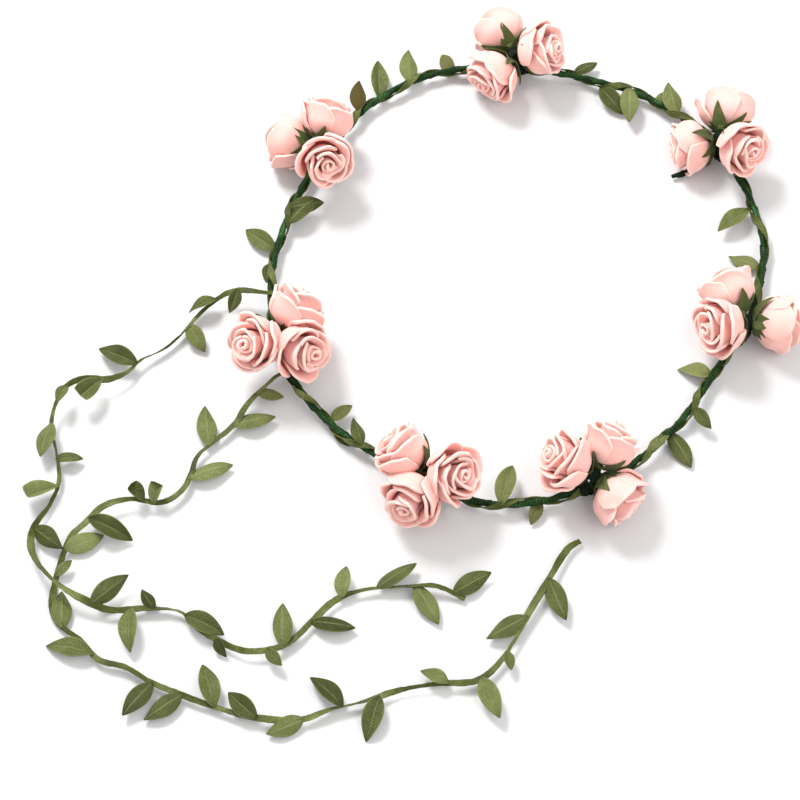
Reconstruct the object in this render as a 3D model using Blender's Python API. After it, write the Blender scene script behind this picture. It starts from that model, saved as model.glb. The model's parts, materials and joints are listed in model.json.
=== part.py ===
"""Flower crown: seven trios of foam roses wired to a taped wire hoop, wound with leafy ribbon.

Run with: blender --background --python part.py

The crown lies on the plane z = 0 with the middle of its hoop above the origin and +Z up. Sizes are in
millimetres and degrees until an object is made. A bearing is measured anticlockwise from +X. A heading is
measured anticlockwise from the direction straight out of the hoop, so 0 points out and 180 points in.
"""

import math

import bmesh
import bpy
from mathutils import Matrix, Vector

MM = 0.001

# Hoop: a wire ring, bent by hand, inside a sleeve of wound tape.
HOOP_RADIUS = 92.0
HOOP_BENDS = (  # bearing, and how far the hoop strays outwards there
    (10, 3.0),
    (47, 3.5),
    (75, -0.5),
    (112, 1.5),
    (157, -4.5),
    (190, -0.5),
    (216, 2.0),
    (240, 1.0),
    (265, 5.5),
    (290, 0.0),
    (328, -7.5),
    (350, -2.0),
)
HOOP_SEAM = 202.0  # bearing at which the ends of the wire meet, under the left roses
HOOP_SEAM_GAP = 1.5
HOOP_STEPS = 56
WIRE_RADIUS = 0.85
TAPE_CLEARANCE = 0.3
TAPE_WALL = 0.6

# Leafy ribbon: one trim, wound round the hoop, with both ends left to trail.
RIBBON_WIDTH = 2.8
RIBBON_THICKNESS = 0.8
RIBBON_CLEARANCE = 0.65
RIBBON_WRAPS = 21
RIBBON_STEPS_PER_WRAP = 12
RIBBON_START = 150.0  # where the ribbon begins round the wire: 0 outside, 90 on top
LEAF_WIDTH = 7.0
LEAF_THICKNESS = 0.4
LEAF_FULL_LENGTH = 16.0  # a leaf of this length has the full width

# Rose: a foam head on a wire stem, with a paper calyx under it.
ROSE_RADIUS = 9.8
ROSE_HEIGHT = 15.8
ROSE_BASE_RADIUS = 2.3
ROSE_SOCKET_DEPTH = 3.0
ROSE_SIDES = 8
ROSE_SHAPE = ((0.64, 0.13), (0.92, 0.38), (1.0, 0.66), (0.86, 0.9), (0.5, 1.0))  # of radius and height
CALYX_RADIUS = 6.8
CALYX_WAIST = 3.2
CALYX_THICKNESS = 0.4
CALYX_CLEARANCE = 0.35
SEPALS = 5
STEM_RADIUS = 0.55
STEM_CLEARANCE = 0.3
STEM_TUCK = 3.8  # what the foot of a rose lies nearer to the knot than the rose's radius

# Binding: a collar of tape that turns on the hoop, with the knot of the three stems on top.
COLLAR_LENGTH = 10.0
COLLAR_CLEARANCE = 0.45
COLLAR_WALL = 0.8
COLLAR_SIDES = 8
KNOT_RADIUS = 2.8
KNOT_TUCK = 1.2  # what the knot lies nearer to the wire than the rose's radius
TABLE_GAP = 0.1  # under the lowest rose

# Every trio: name, bearing, then each rose's heading and its pitch above the level.
TRIOS = (
    ("back", 89, ((26, -12), (145, -4), (-98, 30))),
    ("back_right", 34, ((157, -14), (42, 0), (-83, 26))),
    ("right", 342, ((147, 5), (-122, 22), (32, -8))),
    ("front_right", 286, ((-126, 33), (123, 31), (23, -12))),
    ("front_left", 250, ((-92, 30), (92, 38), (-1, 11))),
    ("left", 202, ((-140, 29), (20, 38), (120, 28))),
    ("back_left", 147, ((-80, 28), (3, -15), (138, 34))),
)

# Every leaf on the hoop: bearing, length, heading, and tilt above the level.
HOOP_LEAVES = (
    (1, 13, 163, 5),
    (17, 17, -153, 8),
    (47, 15, 50, 10),
    (53, 9, -5, 15),
    (60, 17, -158, 5),
    (67, 15, -128, 5),
    (74, 11, -45, 15),
    (101, 12, 14, 12),
    (115, 15, -28, 12),
    (123, 18, -35, 12),
    (130, 13, -50, 18),
    (161, 14, -150, 5),
    (167, 15, -113, 8),
    (174, 16, -25, 8),
    (179, 9, 95, 10),
    (223, 10, 171, 15),
    (225, 9, 84, 10),
    (233, 11, -130, 12),
    (264, 17, 170, 10),
    (274, 10, -34, 5),
    (301, 11, 100, 5),
    (308, 16, -19, 5),
    (317, 10, -24, 5),
    (328, 14, -170, 5),
)

# Every trailing end: where it leaves the hoop (bearing, and how far out from the wire), its route as steps
# from there (x, y, and height above the table), and its leaves (distance along, length, turn, and tilt).
TAILS = {
    "tail_upper": (
        (187.3, 5.6),
        (
            (0, 0, 9),
            (-6, 1, 8),
            (-12, 0, 6),
            (-19, -5, 4),
            (-24, -11, 3.5),
            (-32, -20, 3),
            (-41, -26, 4),
            (-46, -32, 5),
            (-53, -36, 7),
            (-60, -36, 8),
            (-67, -39, 8),
            (-71, -46, 6),
            (-72, -55, 4.5),
            (-70, -63, 3.5),
            (-68, -75, 3),
            (-71, -85, 3),
            (-75, -92, 3.5),
            (-76, -100, 5),
            (-73, -108, 7),
            (-66, -116, 8),
            (-58, -121, 6.5),
            (-47, -125, 4),
            (-35, -124, 3),
            (-23, -125, 3),
            (-17, -131, 3),
            (-9, -136, 3),
            (-1, -140, 4),
            (7, -140, 4),
            (15, -137, 3),
            (23, -129, 3),
            (31, -121, 3),
            (41, -117, 3),
            (54, -116, 3.5),
            (66, -116, 4),
            (76, -120, 2),
        ),
        (
            (7, 10, 75, 0),
            (16, 12, -10, 8),
            (30, 13, 67, 5),
            (55, 17, -76, 8),
            (71, 17, 50, 0),
            (84, 9, 32, 20),
            (99, 15, -12, 8),
            (113, 10, 81, 8),
            (124, 20, -58, 5),
            (142, 15, 60, 14),
            (183, 17, 60, 8),
            (205, 9, 124, 8),
            (197, 17, -99, 10),
            (217, 16, 19, 12),
            (231, 8, -34, 4),
            (250, 9, -61, 4),
            (256, 16, 64, 10),
            (269, 16, -53, 2),
            (283, 12, 56, 15),
            (296, 17, 31, 6),
            (309, 17, -62, 2),
            (323, 16, 54, 8),
        ),
    ),
    "tail_lower": (
        (208.5, 5.4),
        (
            (0, 0, 8),
            (-5, -4, 6),
            (-11, -10, 4),
            (-15, -17, 3),
            (-22, -24, 3),
            (-28, -30, 3),
            (-30, -37, 3),
            (-33, -44, 3.5),
            (-40, -49, 4),
            (-51, -48, 5),
            (-60, -51, 5.5),
            (-66, -57, 5),
            (-71, -62, 4),
            (-74, -70, 2.5),
            (-76, -80, 1.8),
            (-76, -89, 1.8),
            (-72, -96, 2.5),
            (-65, -101, 3),
            (-59, -108, 3),
            (-49, -111, 3),
            (-41, -116, 3),
            (-32, -120, 3),
            (-19, -125, 3),
            (-6, -129, 3.5),
            (10, -130, 3),
            (21, -126, 3),
            (33, -123, 3),
            (45, -119, 3),
            (58, -117, 3.5),
            (70, -116, 3),
            (77, -111, 3),
            (84, -101, 3.5),
            (89, -91, 3.5),
            (96, -79, 4),
            (103, -67, 3),
            (108, -63, 2),
        ),
        (
            (9, 10, 130, -4),
            (24, 16, 141, 4),
            (36, 17, -124, 6),
            (51, 17, 130, 4),
            (68, 12, -106, 25),
            (72, 12, -30, 20),
            (93, 18, 106, 2),
            (107, 15, 129, 0),
            (117, 8, 144, 8),
            (138, 15, 145, 0),
            (153, 18, -148, 2),
            (177, 16, -102, 6),
            (188, 16, -122, 3),
            (200, 17, 124, 6),
            (215, 14, 148, 8),
            (231, 14, -168, 2),
            (245, 16, 120, 8),
            (258, 17, -125, 3),
            (282, 11, 148, 12),
            (294, 17, -102, 3),
            (307, 8, -136, 5),
            (322, 17, 148, 4),
            (338, 17, -132, 3),
        ),
    ),
}
TAIL_STEP = 6.0

# What follows from the sizes above.
TAPE_BORE = WIRE_RADIUS + TAPE_CLEARANCE
TAPE_RADIUS = TAPE_BORE + TAPE_WALL
RIBBON_ORBIT = TAPE_RADIUS + RIBBON_CLEARANCE + RIBBON_THICKNESS / 2
RIBBON_REACH = math.hypot(RIBBON_ORBIT + RIBBON_THICKNESS / 2, 0.42 * RIBBON_WIDTH)
COLLAR_BORE = RIBBON_REACH + COLLAR_CLEARANCE
COLLAR_RADIUS = COLLAR_BORE + COLLAR_WALL
STEM_LENGTH = ROSE_RADIUS - STEM_TUCK
KNOT_RISE = ROSE_RADIUS - KNOT_TUCK


def lowest_rose():
    """Height over the wire of the lowest flat of any rose, which is negative."""
    heights = []
    for _, _, roses in TRIOS:
        for _, pitch in roses:
            rise = math.radians(pitch)
            for wide, tall in ROSE_SHAPE:
                reach = (STEM_LENGTH + ROSE_HEIGHT * tall) * math.sin(rise)
                flat = ROSE_RADIUS * wide * math.cos(math.pi / ROSE_SIDES) * math.cos(rise)
                heights.append(KNOT_RISE + reach - flat)
    return min(heights)


HOOP_HEIGHT = TABLE_GAP - lowest_rose()  # the lowest roses stand on the table


# ---------------------------------------------------------------- curves
def spline(before, start, end, after, t):
    """A point of the smooth curve through the four values, from start at t = 0 to end at t = 1."""
    bend = 2 * before - 5 * start + 4 * end - after
    twist = 3 * start - before - 3 * end + after
    return 0.5 * (2 * start + (end - before) * t + bend * t**2 + twist * t**3)


def hoop_stray(bearing):
    """How far the hand-bent hoop lies outside a true circle at a bearing."""
    count = len(HOOP_BENDS)
    bearing = (bearing - HOOP_BENDS[0][0]) % 360 + HOOP_BENDS[0][0]
    for i in range(count):
        start, value = HOOP_BENDS[i]
        end = HOOP_BENDS[(i + 1) % count][0] + (360 if i == count - 1 else 0)
        if start <= bearing <= end:
            around = [HOOP_BENDS[(i + k) % count][1] for k in (-1, 0, 1, 2)]
            return spline(*around, (bearing - start) / (end - start))
    return 0.0


def hoop_point(bearing, out=0.0, up=0.0):
    """A point beside the middle of the wire."""
    angle = math.radians(bearing)
    reach = HOOP_RADIUS + hoop_stray(bearing) + out
    return Vector((reach * math.cos(angle), reach * math.sin(angle), HOOP_HEIGHT + up))


def hoop_axes(bearing):
    """The directions out, along (anticlockwise) and up of the wire at a bearing."""
    along = (hoop_point(bearing + 0.5) - hoop_point(bearing - 0.5)).normalized()
    up = Vector((0, 0, 1))
    return along.cross(up), along, up


def placed(origin, x_axis, y_axis, z_axis):
    """The matrix with these columns."""
    rows = Matrix((x_axis, y_axis, z_axis)).transposed().to_4x4()
    rows.translation = origin
    return rows


def smooth_route(points, step):
    """Evenly spaced points along the smooth curve through the points given."""
    ends = [2 * points[0] - points[1], *points, 2 * points[-1] - points[-2]]
    fine = [
        spline(*ends[i : i + 4], k / 16) for i in range(len(points) - 1) for k in range(16)
    ]
    fine.append(points[-1])
    lengths = [0.0]
    for a, b in zip(fine, fine[1:]):
        lengths.append(lengths[-1] + (b - a).length)
    count = max(2, round(lengths[-1] / step))
    route, i = [], 0
    for k in range(count + 1):
        wanted = lengths[-1] * k / count
        while i < len(fine) - 2 and lengths[i + 1] < wanted:
            i += 1
        share = (wanted - lengths[i]) / (lengths[i + 1] - lengths[i])
        route.append(fine[i].lerp(fine[i + 1], min(share, 1.0)))
    return route


# ---------------------------------------------------------------- solids
def polygon(sides, radius, bore=False):
    """A round outline. A bore's flats, not its corners, lie at the radius."""
    radius = radius / math.cos(math.pi / sides) if bore else radius
    turns = [math.tau * (k + 0.5) / sides for k in range(sides)]
    return [(radius * math.cos(turn), radius * math.sin(turn)) for turn in turns]


def sweep_rings(points, outline, ups):
    """A ring of the outline (across, up) at each point, square to the way on."""
    rings = []
    last = len(points) - 1
    for i, point in enumerate(points):
        along = (points[min(i + 1, last)] - points[max(i - 1, 0)]).normalized()
        side = along.cross(ups[i]).normalized()
        up = side.cross(along)
        rings.append([point + side * x + up * y for x, y in outline])
    return rings


def enclosed(faces):
    """Six times the volume inside the faces, negative where they face inwards."""
    total = 0.0
    for face in faces:
        first, *others = [vert.co for vert in face.verts]
        total += sum(first.dot(b.cross(c)) for b, c in zip(others, others[1:]))
    return total


def skin(bm, rings, joined=False):
    """Joins each ring to the next. The ends are capped, or joined when the rings come back to the start."""
    rows = [[bm.verts.new(point) for point in ring] for ring in rings]
    pairs = list(zip(rows, rows[1:]))
    if joined:
        pairs.append((rows[-1], rows[0]))
    faces = []
    for row, following in pairs:
        count = max(len(row), len(following))
        for k in range(count):
            corners = [row[k % len(row)], row[(k + 1) % len(row)]]
            corners += [following[(k + 1) % len(following)], following[k % len(following)]]
            faces.append(bm.faces.new(list(dict.fromkeys(corners))))
    if not joined:
        faces += [bm.faces.new(row) for row in (rows[0], rows[-1]) if len(row) > 2]
    bmesh.ops.recalc_face_normals(bm, faces=faces)
    if enclosed(faces) < 0:
        bmesh.ops.reverse_faces(bm, faces=faces)


def lathe_rings(profile, sides):
    """Rings round +Z from a profile of (radius, height); a radius of 0 gives a point."""
    rings = []
    for radius, height in profile:
        outline = polygon(sides, radius) if radius else [(0.0, 0.0)]
        rings.append([Vector((x, y, height)) for x, y in outline])
    return rings


def leaf_rings(length, root):
    """A flat pointed leaf of which `root` places +X along it and +Z out of its face."""
    width = LEAF_WIDTH * min(1.0, length / LEAF_FULL_LENGTH)
    shape = ((0.0, 0.16), (0.22, 0.74), (0.5, 1.0), (0.8, 0.62), (1.0, 0.06))
    rings = []
    for along, breadth in shape:
        x, y, z = length * along, width * breadth / 2, LEAF_THICKNESS / 2
        corners = [(x, y, z), (x, -y, z), (x, -y, -z), (x, y, -z)]
        rings.append([root @ Vector(corner) for corner in corners])
    return rings


def leaf_root(point, ahead, tilt):
    """Places a leaf that starts at a point, lies level but for its tilt, and points ahead."""
    side = Vector((0, 0, 1)).cross(ahead).normalized()
    level = side.cross(Vector((0, 0, 1)))
    x_axis = level * math.cos(math.radians(tilt)) + Vector((0, 0, math.sin(math.radians(tilt))))
    return placed(point, x_axis, side, x_axis.cross(side))


# ---------------------------------------------------------------- objects
def clear_scene():
    for obj in list(bpy.data.objects):
        bpy.data.objects.remove(obj, do_unlink=True)


def material(name, colour, roughness, metallic=0.0):
    """A plain finish, made once."""
    if name in bpy.data.materials:
        return bpy.data.materials[name]
    finish = bpy.data.materials.new(name)
    finish.use_nodes = True
    shader = finish.node_tree.nodes["Principled BSDF"]
    shader.inputs["Base Color"].default_value = (*colour, 1.0)
    shader.inputs["Roughness"].default_value = roughness
    shader.inputs["Metallic"].default_value = metallic
    finish.diffuse_color = (*colour, 1.0)
    return finish


def steel():
    return material("steel_wire", (0.45, 0.46, 0.47), 0.35, 1.0)


def tape():
    return material("floral_tape", (0.012, 0.065, 0.028), 0.5)


def ribbon():
    return material("leaf_ribbon", (0.13, 0.19, 0.05), 0.55)


def foam():
    return material("rose_foam", (0.86, 0.55, 0.49), 0.8)


def paper():
    return material("calyx_paper", (0.045, 0.085, 0.03), 0.75)


def solid(name, bodies, finish, parent=None, place=None):
    """An object made of bodies, each a list of rings and whether they come back to the start."""
    bm = bmesh.new()
    for rings, joined in bodies:
        skin(bm, rings, joined)
    bmesh.ops.triangulate(bm, faces=bm.faces)
    bmesh.ops.scale(bm, vec=(MM, MM, MM), verts=bm.verts)
    mesh = bpy.data.meshes.new(name)
    bm.to_mesh(mesh)
    bm.free()
    mesh.materials.append(finish)
    obj = bpy.data.objects.new(name, mesh)
    bpy.context.scene.collection.objects.link(obj)
    obj.parent = parent
    if place is not None:
        obj.matrix_basis = in_metres(place)
    return obj


def in_metres(place):
    """The same placing with its translation in metres."""
    scaled = place.copy()
    scaled.translation = place.translation * MM
    return scaled


def add_to(obj, bodies):
    """Fuses bodies, given in the object's own frame, into an object. No body may touch the next but one."""
    for group in filter(None, (bodies[0::2], bodies[1::2])):
        helper = solid(obj.name + "_added", group, obj.data.materials[0], obj.parent)
        helper.matrix_basis = obj.matrix_basis
        helper.hide_render = True
        helper.display_type = "WIRE"
        fuse = obj.modifiers.new("fuse", "BOOLEAN")
        fuse.operation = "UNION"
        fuse.solver = "EXACT"
        fuse.object = helper


# ---------------------------------------------------------------- hoop
def hoop_stations(inset):
    """Bearings along the wire from just past the seam round to just before it."""
    start = HOOP_SEAM + math.degrees((HOOP_SEAM_GAP / 2 + inset) / HOOP_RADIUS)
    end = HOOP_SEAM + 360 - math.degrees((HOOP_SEAM_GAP / 2 + inset) / HOOP_RADIUS)
    return [start + (end - start) * k / HOOP_STEPS for k in range(HOOP_STEPS + 1)]


def hoop_rings(radius, bearings):
    points = [hoop_point(bearing) for bearing in bearings]
    return sweep_rings(points, polygon(6, radius), [Vector((0, 0, 1))] * len(points))


def build_hoop():
    """The wire, and the wound tape round it as a tube that stops short of the wire's ends."""
    solid("hoop_wire", [(hoop_rings(WIRE_RADIUS, hoop_stations(0.0)), False)], steel())
    bearings = hoop_stations(1.0)
    outside = hoop_rings(TAPE_RADIUS, bearings)
    inside = hoop_rings(TAPE_BORE, bearings)
    solid("hoop_tape", [(outside + inside[::-1], True)], tape())


# ---------------------------------------------------------------- ribbon
def ribbon_side(bearing):
    """Where the wound ribbon lies round the wire at a bearing: 0 outside, 90 on top."""
    return RIBBON_START + RIBBON_WRAPS * (bearing - HOOP_SEAM)


def ribbon_point(bearing):
    """The middle of the wound ribbon at a bearing, and the way out from the wire there."""
    out, _, up = hoop_axes(bearing)
    side = math.radians(ribbon_side(bearing))
    away = out * math.cos(side) + up * math.sin(side)
    return hoop_point(bearing) + away * RIBBON_ORBIT, away


def ribbon_outline():
    half, thin = RIBBON_WIDTH / 2, RIBBON_THICKNESS / 2
    return [(half, thin), (-half, thin), (-half, -thin), (half, -thin)]


def leaf_bearing(bearing, heading):
    """The bearing nearest the one wanted from which a leaf can set off without crossing the hoop."""
    shift = 0.0
    while True:
        for tried in (bearing + shift, bearing - shift):
            clear = math.cos(math.radians(heading)) * math.cos(math.radians(ribbon_side(tried)))
            if clear > -0.05:
                return tried
        shift += 0.5


def build_garland():
    """The ribbon wound round the hoop, with its leaves."""
    count = RIBBON_WRAPS * RIBBON_STEPS_PER_WRAP
    start = HOOP_SEAM + 1.5
    bearings = [start + (357.0 * k) / count for k in range(count + 1)]
    middles, aways = zip(*(ribbon_point(bearing) for bearing in bearings))
    garland = solid(
        "hoop_garland", [(sweep_rings(middles, ribbon_outline(), aways), False)], ribbon()
    )
    leaves = []
    for bearing, length, heading, tilt in HOOP_LEAVES:
        bearing = leaf_bearing(bearing, heading)
        turn = math.radians(heading)
        out, along, _ = hoop_axes(bearing)
        ahead = out * math.cos(turn) + along * math.sin(turn)
        above = math.sin(math.radians(ribbon_side(bearing))) > -0.2
        root = leaf_root(ribbon_point(bearing)[0], ahead, tilt if above else 0)
        leaves.append((leaf_rings(length, root), False))
    add_to(garland, leaves)


# ---------------------------------------------------------------- tails
def tail_route(name):
    """The chosen points of a trailing end, measured from where it leaves the hoop."""
    (bearing, out), steps, _ = TAILS[name]
    start = hoop_point(bearing, out)
    return [Vector((start.x + x, start.y + y, z)) for x, y, z in steps]


def build_tail(name):
    """A trailing end of the ribbon, lying flat, with its leaves."""
    route = smooth_route(tail_route(name), TAIL_STEP)
    ups = [Vector((0, 0, 1))] * len(route)
    tail = solid(name, [(sweep_rings(route, ribbon_outline(), ups), False)], ribbon())
    step = sum((b - a).length for a, b in zip(route, route[1:])) / (len(route) - 1)
    leaves = []
    for distance, length, turn, tilt in TAILS[name][2]:
        i = min(int(distance / step), len(route) - 2)
        point = route[i].lerp(route[i + 1], distance / step - i)
        ahead = Matrix.Rotation(math.radians(turn), 3, "Z") @ (route[i + 1] - route[i])
        leaves.append((leaf_rings(length, leaf_root(point, ahead, tilt)), False))
    add_to(tail, leaves)


# ---------------------------------------------------------------- roses
def rose_profile():
    """Foot, cup and brim of the foam head, with the blind socket that its stem sits in."""
    socket = STEM_RADIUS + STEM_CLEARANCE
    return (
        (0.0, ROSE_SOCKET_DEPTH),
        (socket, ROSE_SOCKET_DEPTH),
        (socket, 0.0),
        (ROSE_BASE_RADIUS, 0.0),
        *((ROSE_RADIUS * wide, ROSE_HEIGHT * tall) for wide, tall in ROSE_SHAPE),
        (0.0, 0.97 * ROSE_HEIGHT),
    )


def calyx_rings():
    """A star of sepals under the rose, sloped like the rose's foot, with a hole for the stem."""
    wide, tall = ROSE_SHAPE[0]
    slope = ROSE_HEIGHT * tall / (ROSE_RADIUS * wide - ROSE_BASE_RADIUS)
    drop = CALYX_CLEARANCE * math.hypot(1.0, slope) + 0.05
    hole = STEM_RADIUS + STEM_CLEARANCE
    rings = []
    for lower in (0.0, CALYX_THICKNESS):
        for inner in (True, False):
            ring = []
            for k in range(2 * SEPALS):
                outer = CALYX_RADIUS if k % 2 else CALYX_WAIST
                radius = hole if inner else outer
                height = slope * (radius - ROSE_BASE_RADIUS) - drop - lower
                turn = math.tau * k / (2 * SEPALS)
                ring.append(Vector((radius * math.cos(turn), radius * math.sin(turn), height)))
            rings.append(ring)
    return [rings[0], rings[1], rings[3], rings[2]]


def rose_place(heading, pitch, distance):
    """A place in a trio's frame: +Z along the stem, at a distance from the knot."""
    turn, rise = math.radians(heading), math.radians(pitch)
    z_axis = Vector(
        (math.cos(rise) * math.cos(turn), math.cos(rise) * math.sin(turn), math.sin(rise))
    )
    y_axis = Vector((-math.sin(turn), math.cos(turn), 0.0))
    knot = Vector((0.0, 0.0, KNOT_RISE))
    return placed(knot + z_axis * distance, y_axis.cross(z_axis), y_axis, z_axis)


def stem_rings(heading, pitch):
    """A wire from the middle of the knot into the socket of its rose."""
    reach = STEM_LENGTH + ROSE_SOCKET_DEPTH - STEM_CLEARANCE
    place = rose_place(heading, pitch, 0.0)
    rings = []
    for height in (0.0, reach):
        ring = [Vector((x, y, height)) for x, y in polygon(5, STEM_RADIUS)]
        rings.append([place @ point for point in ring])
    return rings


def knot_rings():
    """The wad of tape that stands on the collar and holds the three stems."""
    foot = COLLAR_BORE + 0.4 * COLLAR_WALL
    profile = (
        (0.0, foot),
        (0.7 * KNOT_RADIUS, foot),
        (KNOT_RADIUS, KNOT_RISE - 0.4 * KNOT_RADIUS),
        (0.9 * KNOT_RADIUS, KNOT_RISE + 0.3 * KNOT_RADIUS),
        (0.0, KNOT_RISE + 0.8 * KNOT_RADIUS),
    )
    return lathe_rings(profile, COLLAR_SIDES)


def build_collar(name, roses, hinge):
    """The tape collar round the hoop, with the knot and the three stems on it."""
    ends = [Vector((0, -COLLAR_LENGTH / 2, 0)), Vector((0, COLLAR_LENGTH / 2, 0))]
    ups = [Vector((0, 0, 1))] * 2
    outside = sweep_rings(ends, polygon(COLLAR_SIDES, COLLAR_RADIUS), ups)
    inside = sweep_rings(ends, polygon(COLLAR_SIDES, COLLAR_BORE, bore=True), ups)
    collar = solid("stems_" + name, [(outside + inside[::-1], True)], tape(), hinge)
    add_to(collar, [(knot_rings(), False)])
    for heading, pitch in roses:
        add_to(collar, [(stem_rings(heading, pitch), False)])


def build_trio(name, bearing, roses):
    """Three roses that turn together on the hoop, about the hoop's own line."""
    hinge = bpy.data.objects.new("hinge_" + name, None)
    bpy.context.scene.collection.objects.link(hinge)
    hinge.matrix_world = in_metres(placed(hoop_point(bearing), *hoop_axes(bearing)))
    build_collar(name, roses, hinge)
    for k, (heading, pitch) in enumerate(roses, start=1):
        place = rose_place(heading, pitch, STEM_LENGTH)
        head = lathe_rings(rose_profile(), ROSE_SIDES)
        solid(f"rose_{name}_{k}", [(head, False)], foam(), hinge, place)
        solid(f"calyx_{name}_{k}", [(calyx_rings(), True)], paper(), hinge, place)


def main():
    clear_scene()
    build_hoop()
    build_garland()
    for name in TAILS:
        build_tail(name)
    for name, bearing, roses in TRIOS:
        build_trio(name, bearing, roses)


if __name__ == "__main__":
    main()
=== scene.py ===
"""Looks of a flower crown: foam roses in trios, a leafy ribbon, and a wire hoop wound with tape.

The sizes are in metres, and every place is read off the loaded frame or worked out from it. A bearing is
measured anticlockwise from +X, seen from above.
"""

import functools
import json
import math
import random

import bmesh
import bpy
import numpy as np
from bpy.props import FloatProperty, FloatVectorProperty, PointerProperty
from mathutils import Matrix, Vector, noise

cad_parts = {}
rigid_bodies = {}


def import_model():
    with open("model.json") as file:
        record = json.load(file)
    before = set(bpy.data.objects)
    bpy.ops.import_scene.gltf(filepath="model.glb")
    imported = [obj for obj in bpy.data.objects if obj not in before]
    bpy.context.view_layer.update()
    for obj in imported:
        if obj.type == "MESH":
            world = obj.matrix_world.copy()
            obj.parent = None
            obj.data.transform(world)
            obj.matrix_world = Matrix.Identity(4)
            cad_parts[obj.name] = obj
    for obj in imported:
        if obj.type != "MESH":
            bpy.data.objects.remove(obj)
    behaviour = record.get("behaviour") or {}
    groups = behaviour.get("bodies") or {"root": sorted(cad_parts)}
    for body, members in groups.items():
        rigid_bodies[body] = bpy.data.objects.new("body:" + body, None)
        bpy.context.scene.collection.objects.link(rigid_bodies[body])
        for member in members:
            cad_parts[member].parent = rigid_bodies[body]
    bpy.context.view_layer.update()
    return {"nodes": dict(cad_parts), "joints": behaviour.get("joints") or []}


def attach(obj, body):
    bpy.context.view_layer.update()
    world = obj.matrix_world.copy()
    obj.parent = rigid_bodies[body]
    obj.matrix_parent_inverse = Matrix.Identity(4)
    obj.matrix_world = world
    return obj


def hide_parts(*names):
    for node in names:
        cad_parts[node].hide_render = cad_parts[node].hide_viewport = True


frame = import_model()
NODES = frame["nodes"]

bl_info = {
    "name": "Flower Crown",
    "version": (1, 0, 0),
    "blender": (4, 5, 0),
    "location": "View3D > Sidebar > Crown",
    "description": "Builds the foam roses, leafy ribbon and bindings of a flower crown round its frame",
    "category": "Object",
}

UP = Vector((0, 0, 1))
SIDEWAYS = Vector((1, 0, 0))
SMOOTH_STEPS = 12  # fine points between two given points of a smooth curve

# The leafy ribbon on the hoop: how far round the wire it lies (0 outside, 90 on top) and how often it winds.
RIBBON_SEAM = 202.0
RIBBON_START = 150.0
RIBBON_WRAPS = 21
LEAF_KINDS = 6  # patterns of an open leaf; the pattern after them is the folded one

# Every leaf on the hoop: bearing, length, heading (0 out, 180 in, anticlockwise), and tilt above the level.
HOOP_LEAVES = (
    (1, 0.013, 163, 5),
    (17, 0.017, -153, 8),
    (47, 0.015, 50, 10),
    (53, 0.009, -5, 15),
    (60, 0.017, -158, 5),
    (67, 0.015, -128, 5),
    (74, 0.011, -45, 15),
    (101, 0.012, 14, 12),
    (115, 0.015, -28, 12),
    (123, 0.018, -35, 12),
    (130, 0.013, -50, 18),
    (161, 0.014, -150, 5),
    (167, 0.015, -113, 8),
    (174, 0.016, -25, 8),
    (179, 0.009, 95, 10),
    (223, 0.01, 171, 15),
    (225, 0.009, 84, 10),
    (233, 0.011, -130, 12),
    (264, 0.017, 170, 10),
    (274, 0.01, -34, 5),
    (301, 0.011, 100, 5),
    (308, 0.016, -19, 5),
    (317, 0.01, -24, 5),
    (328, 0.014, -170, 5),
)

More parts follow.
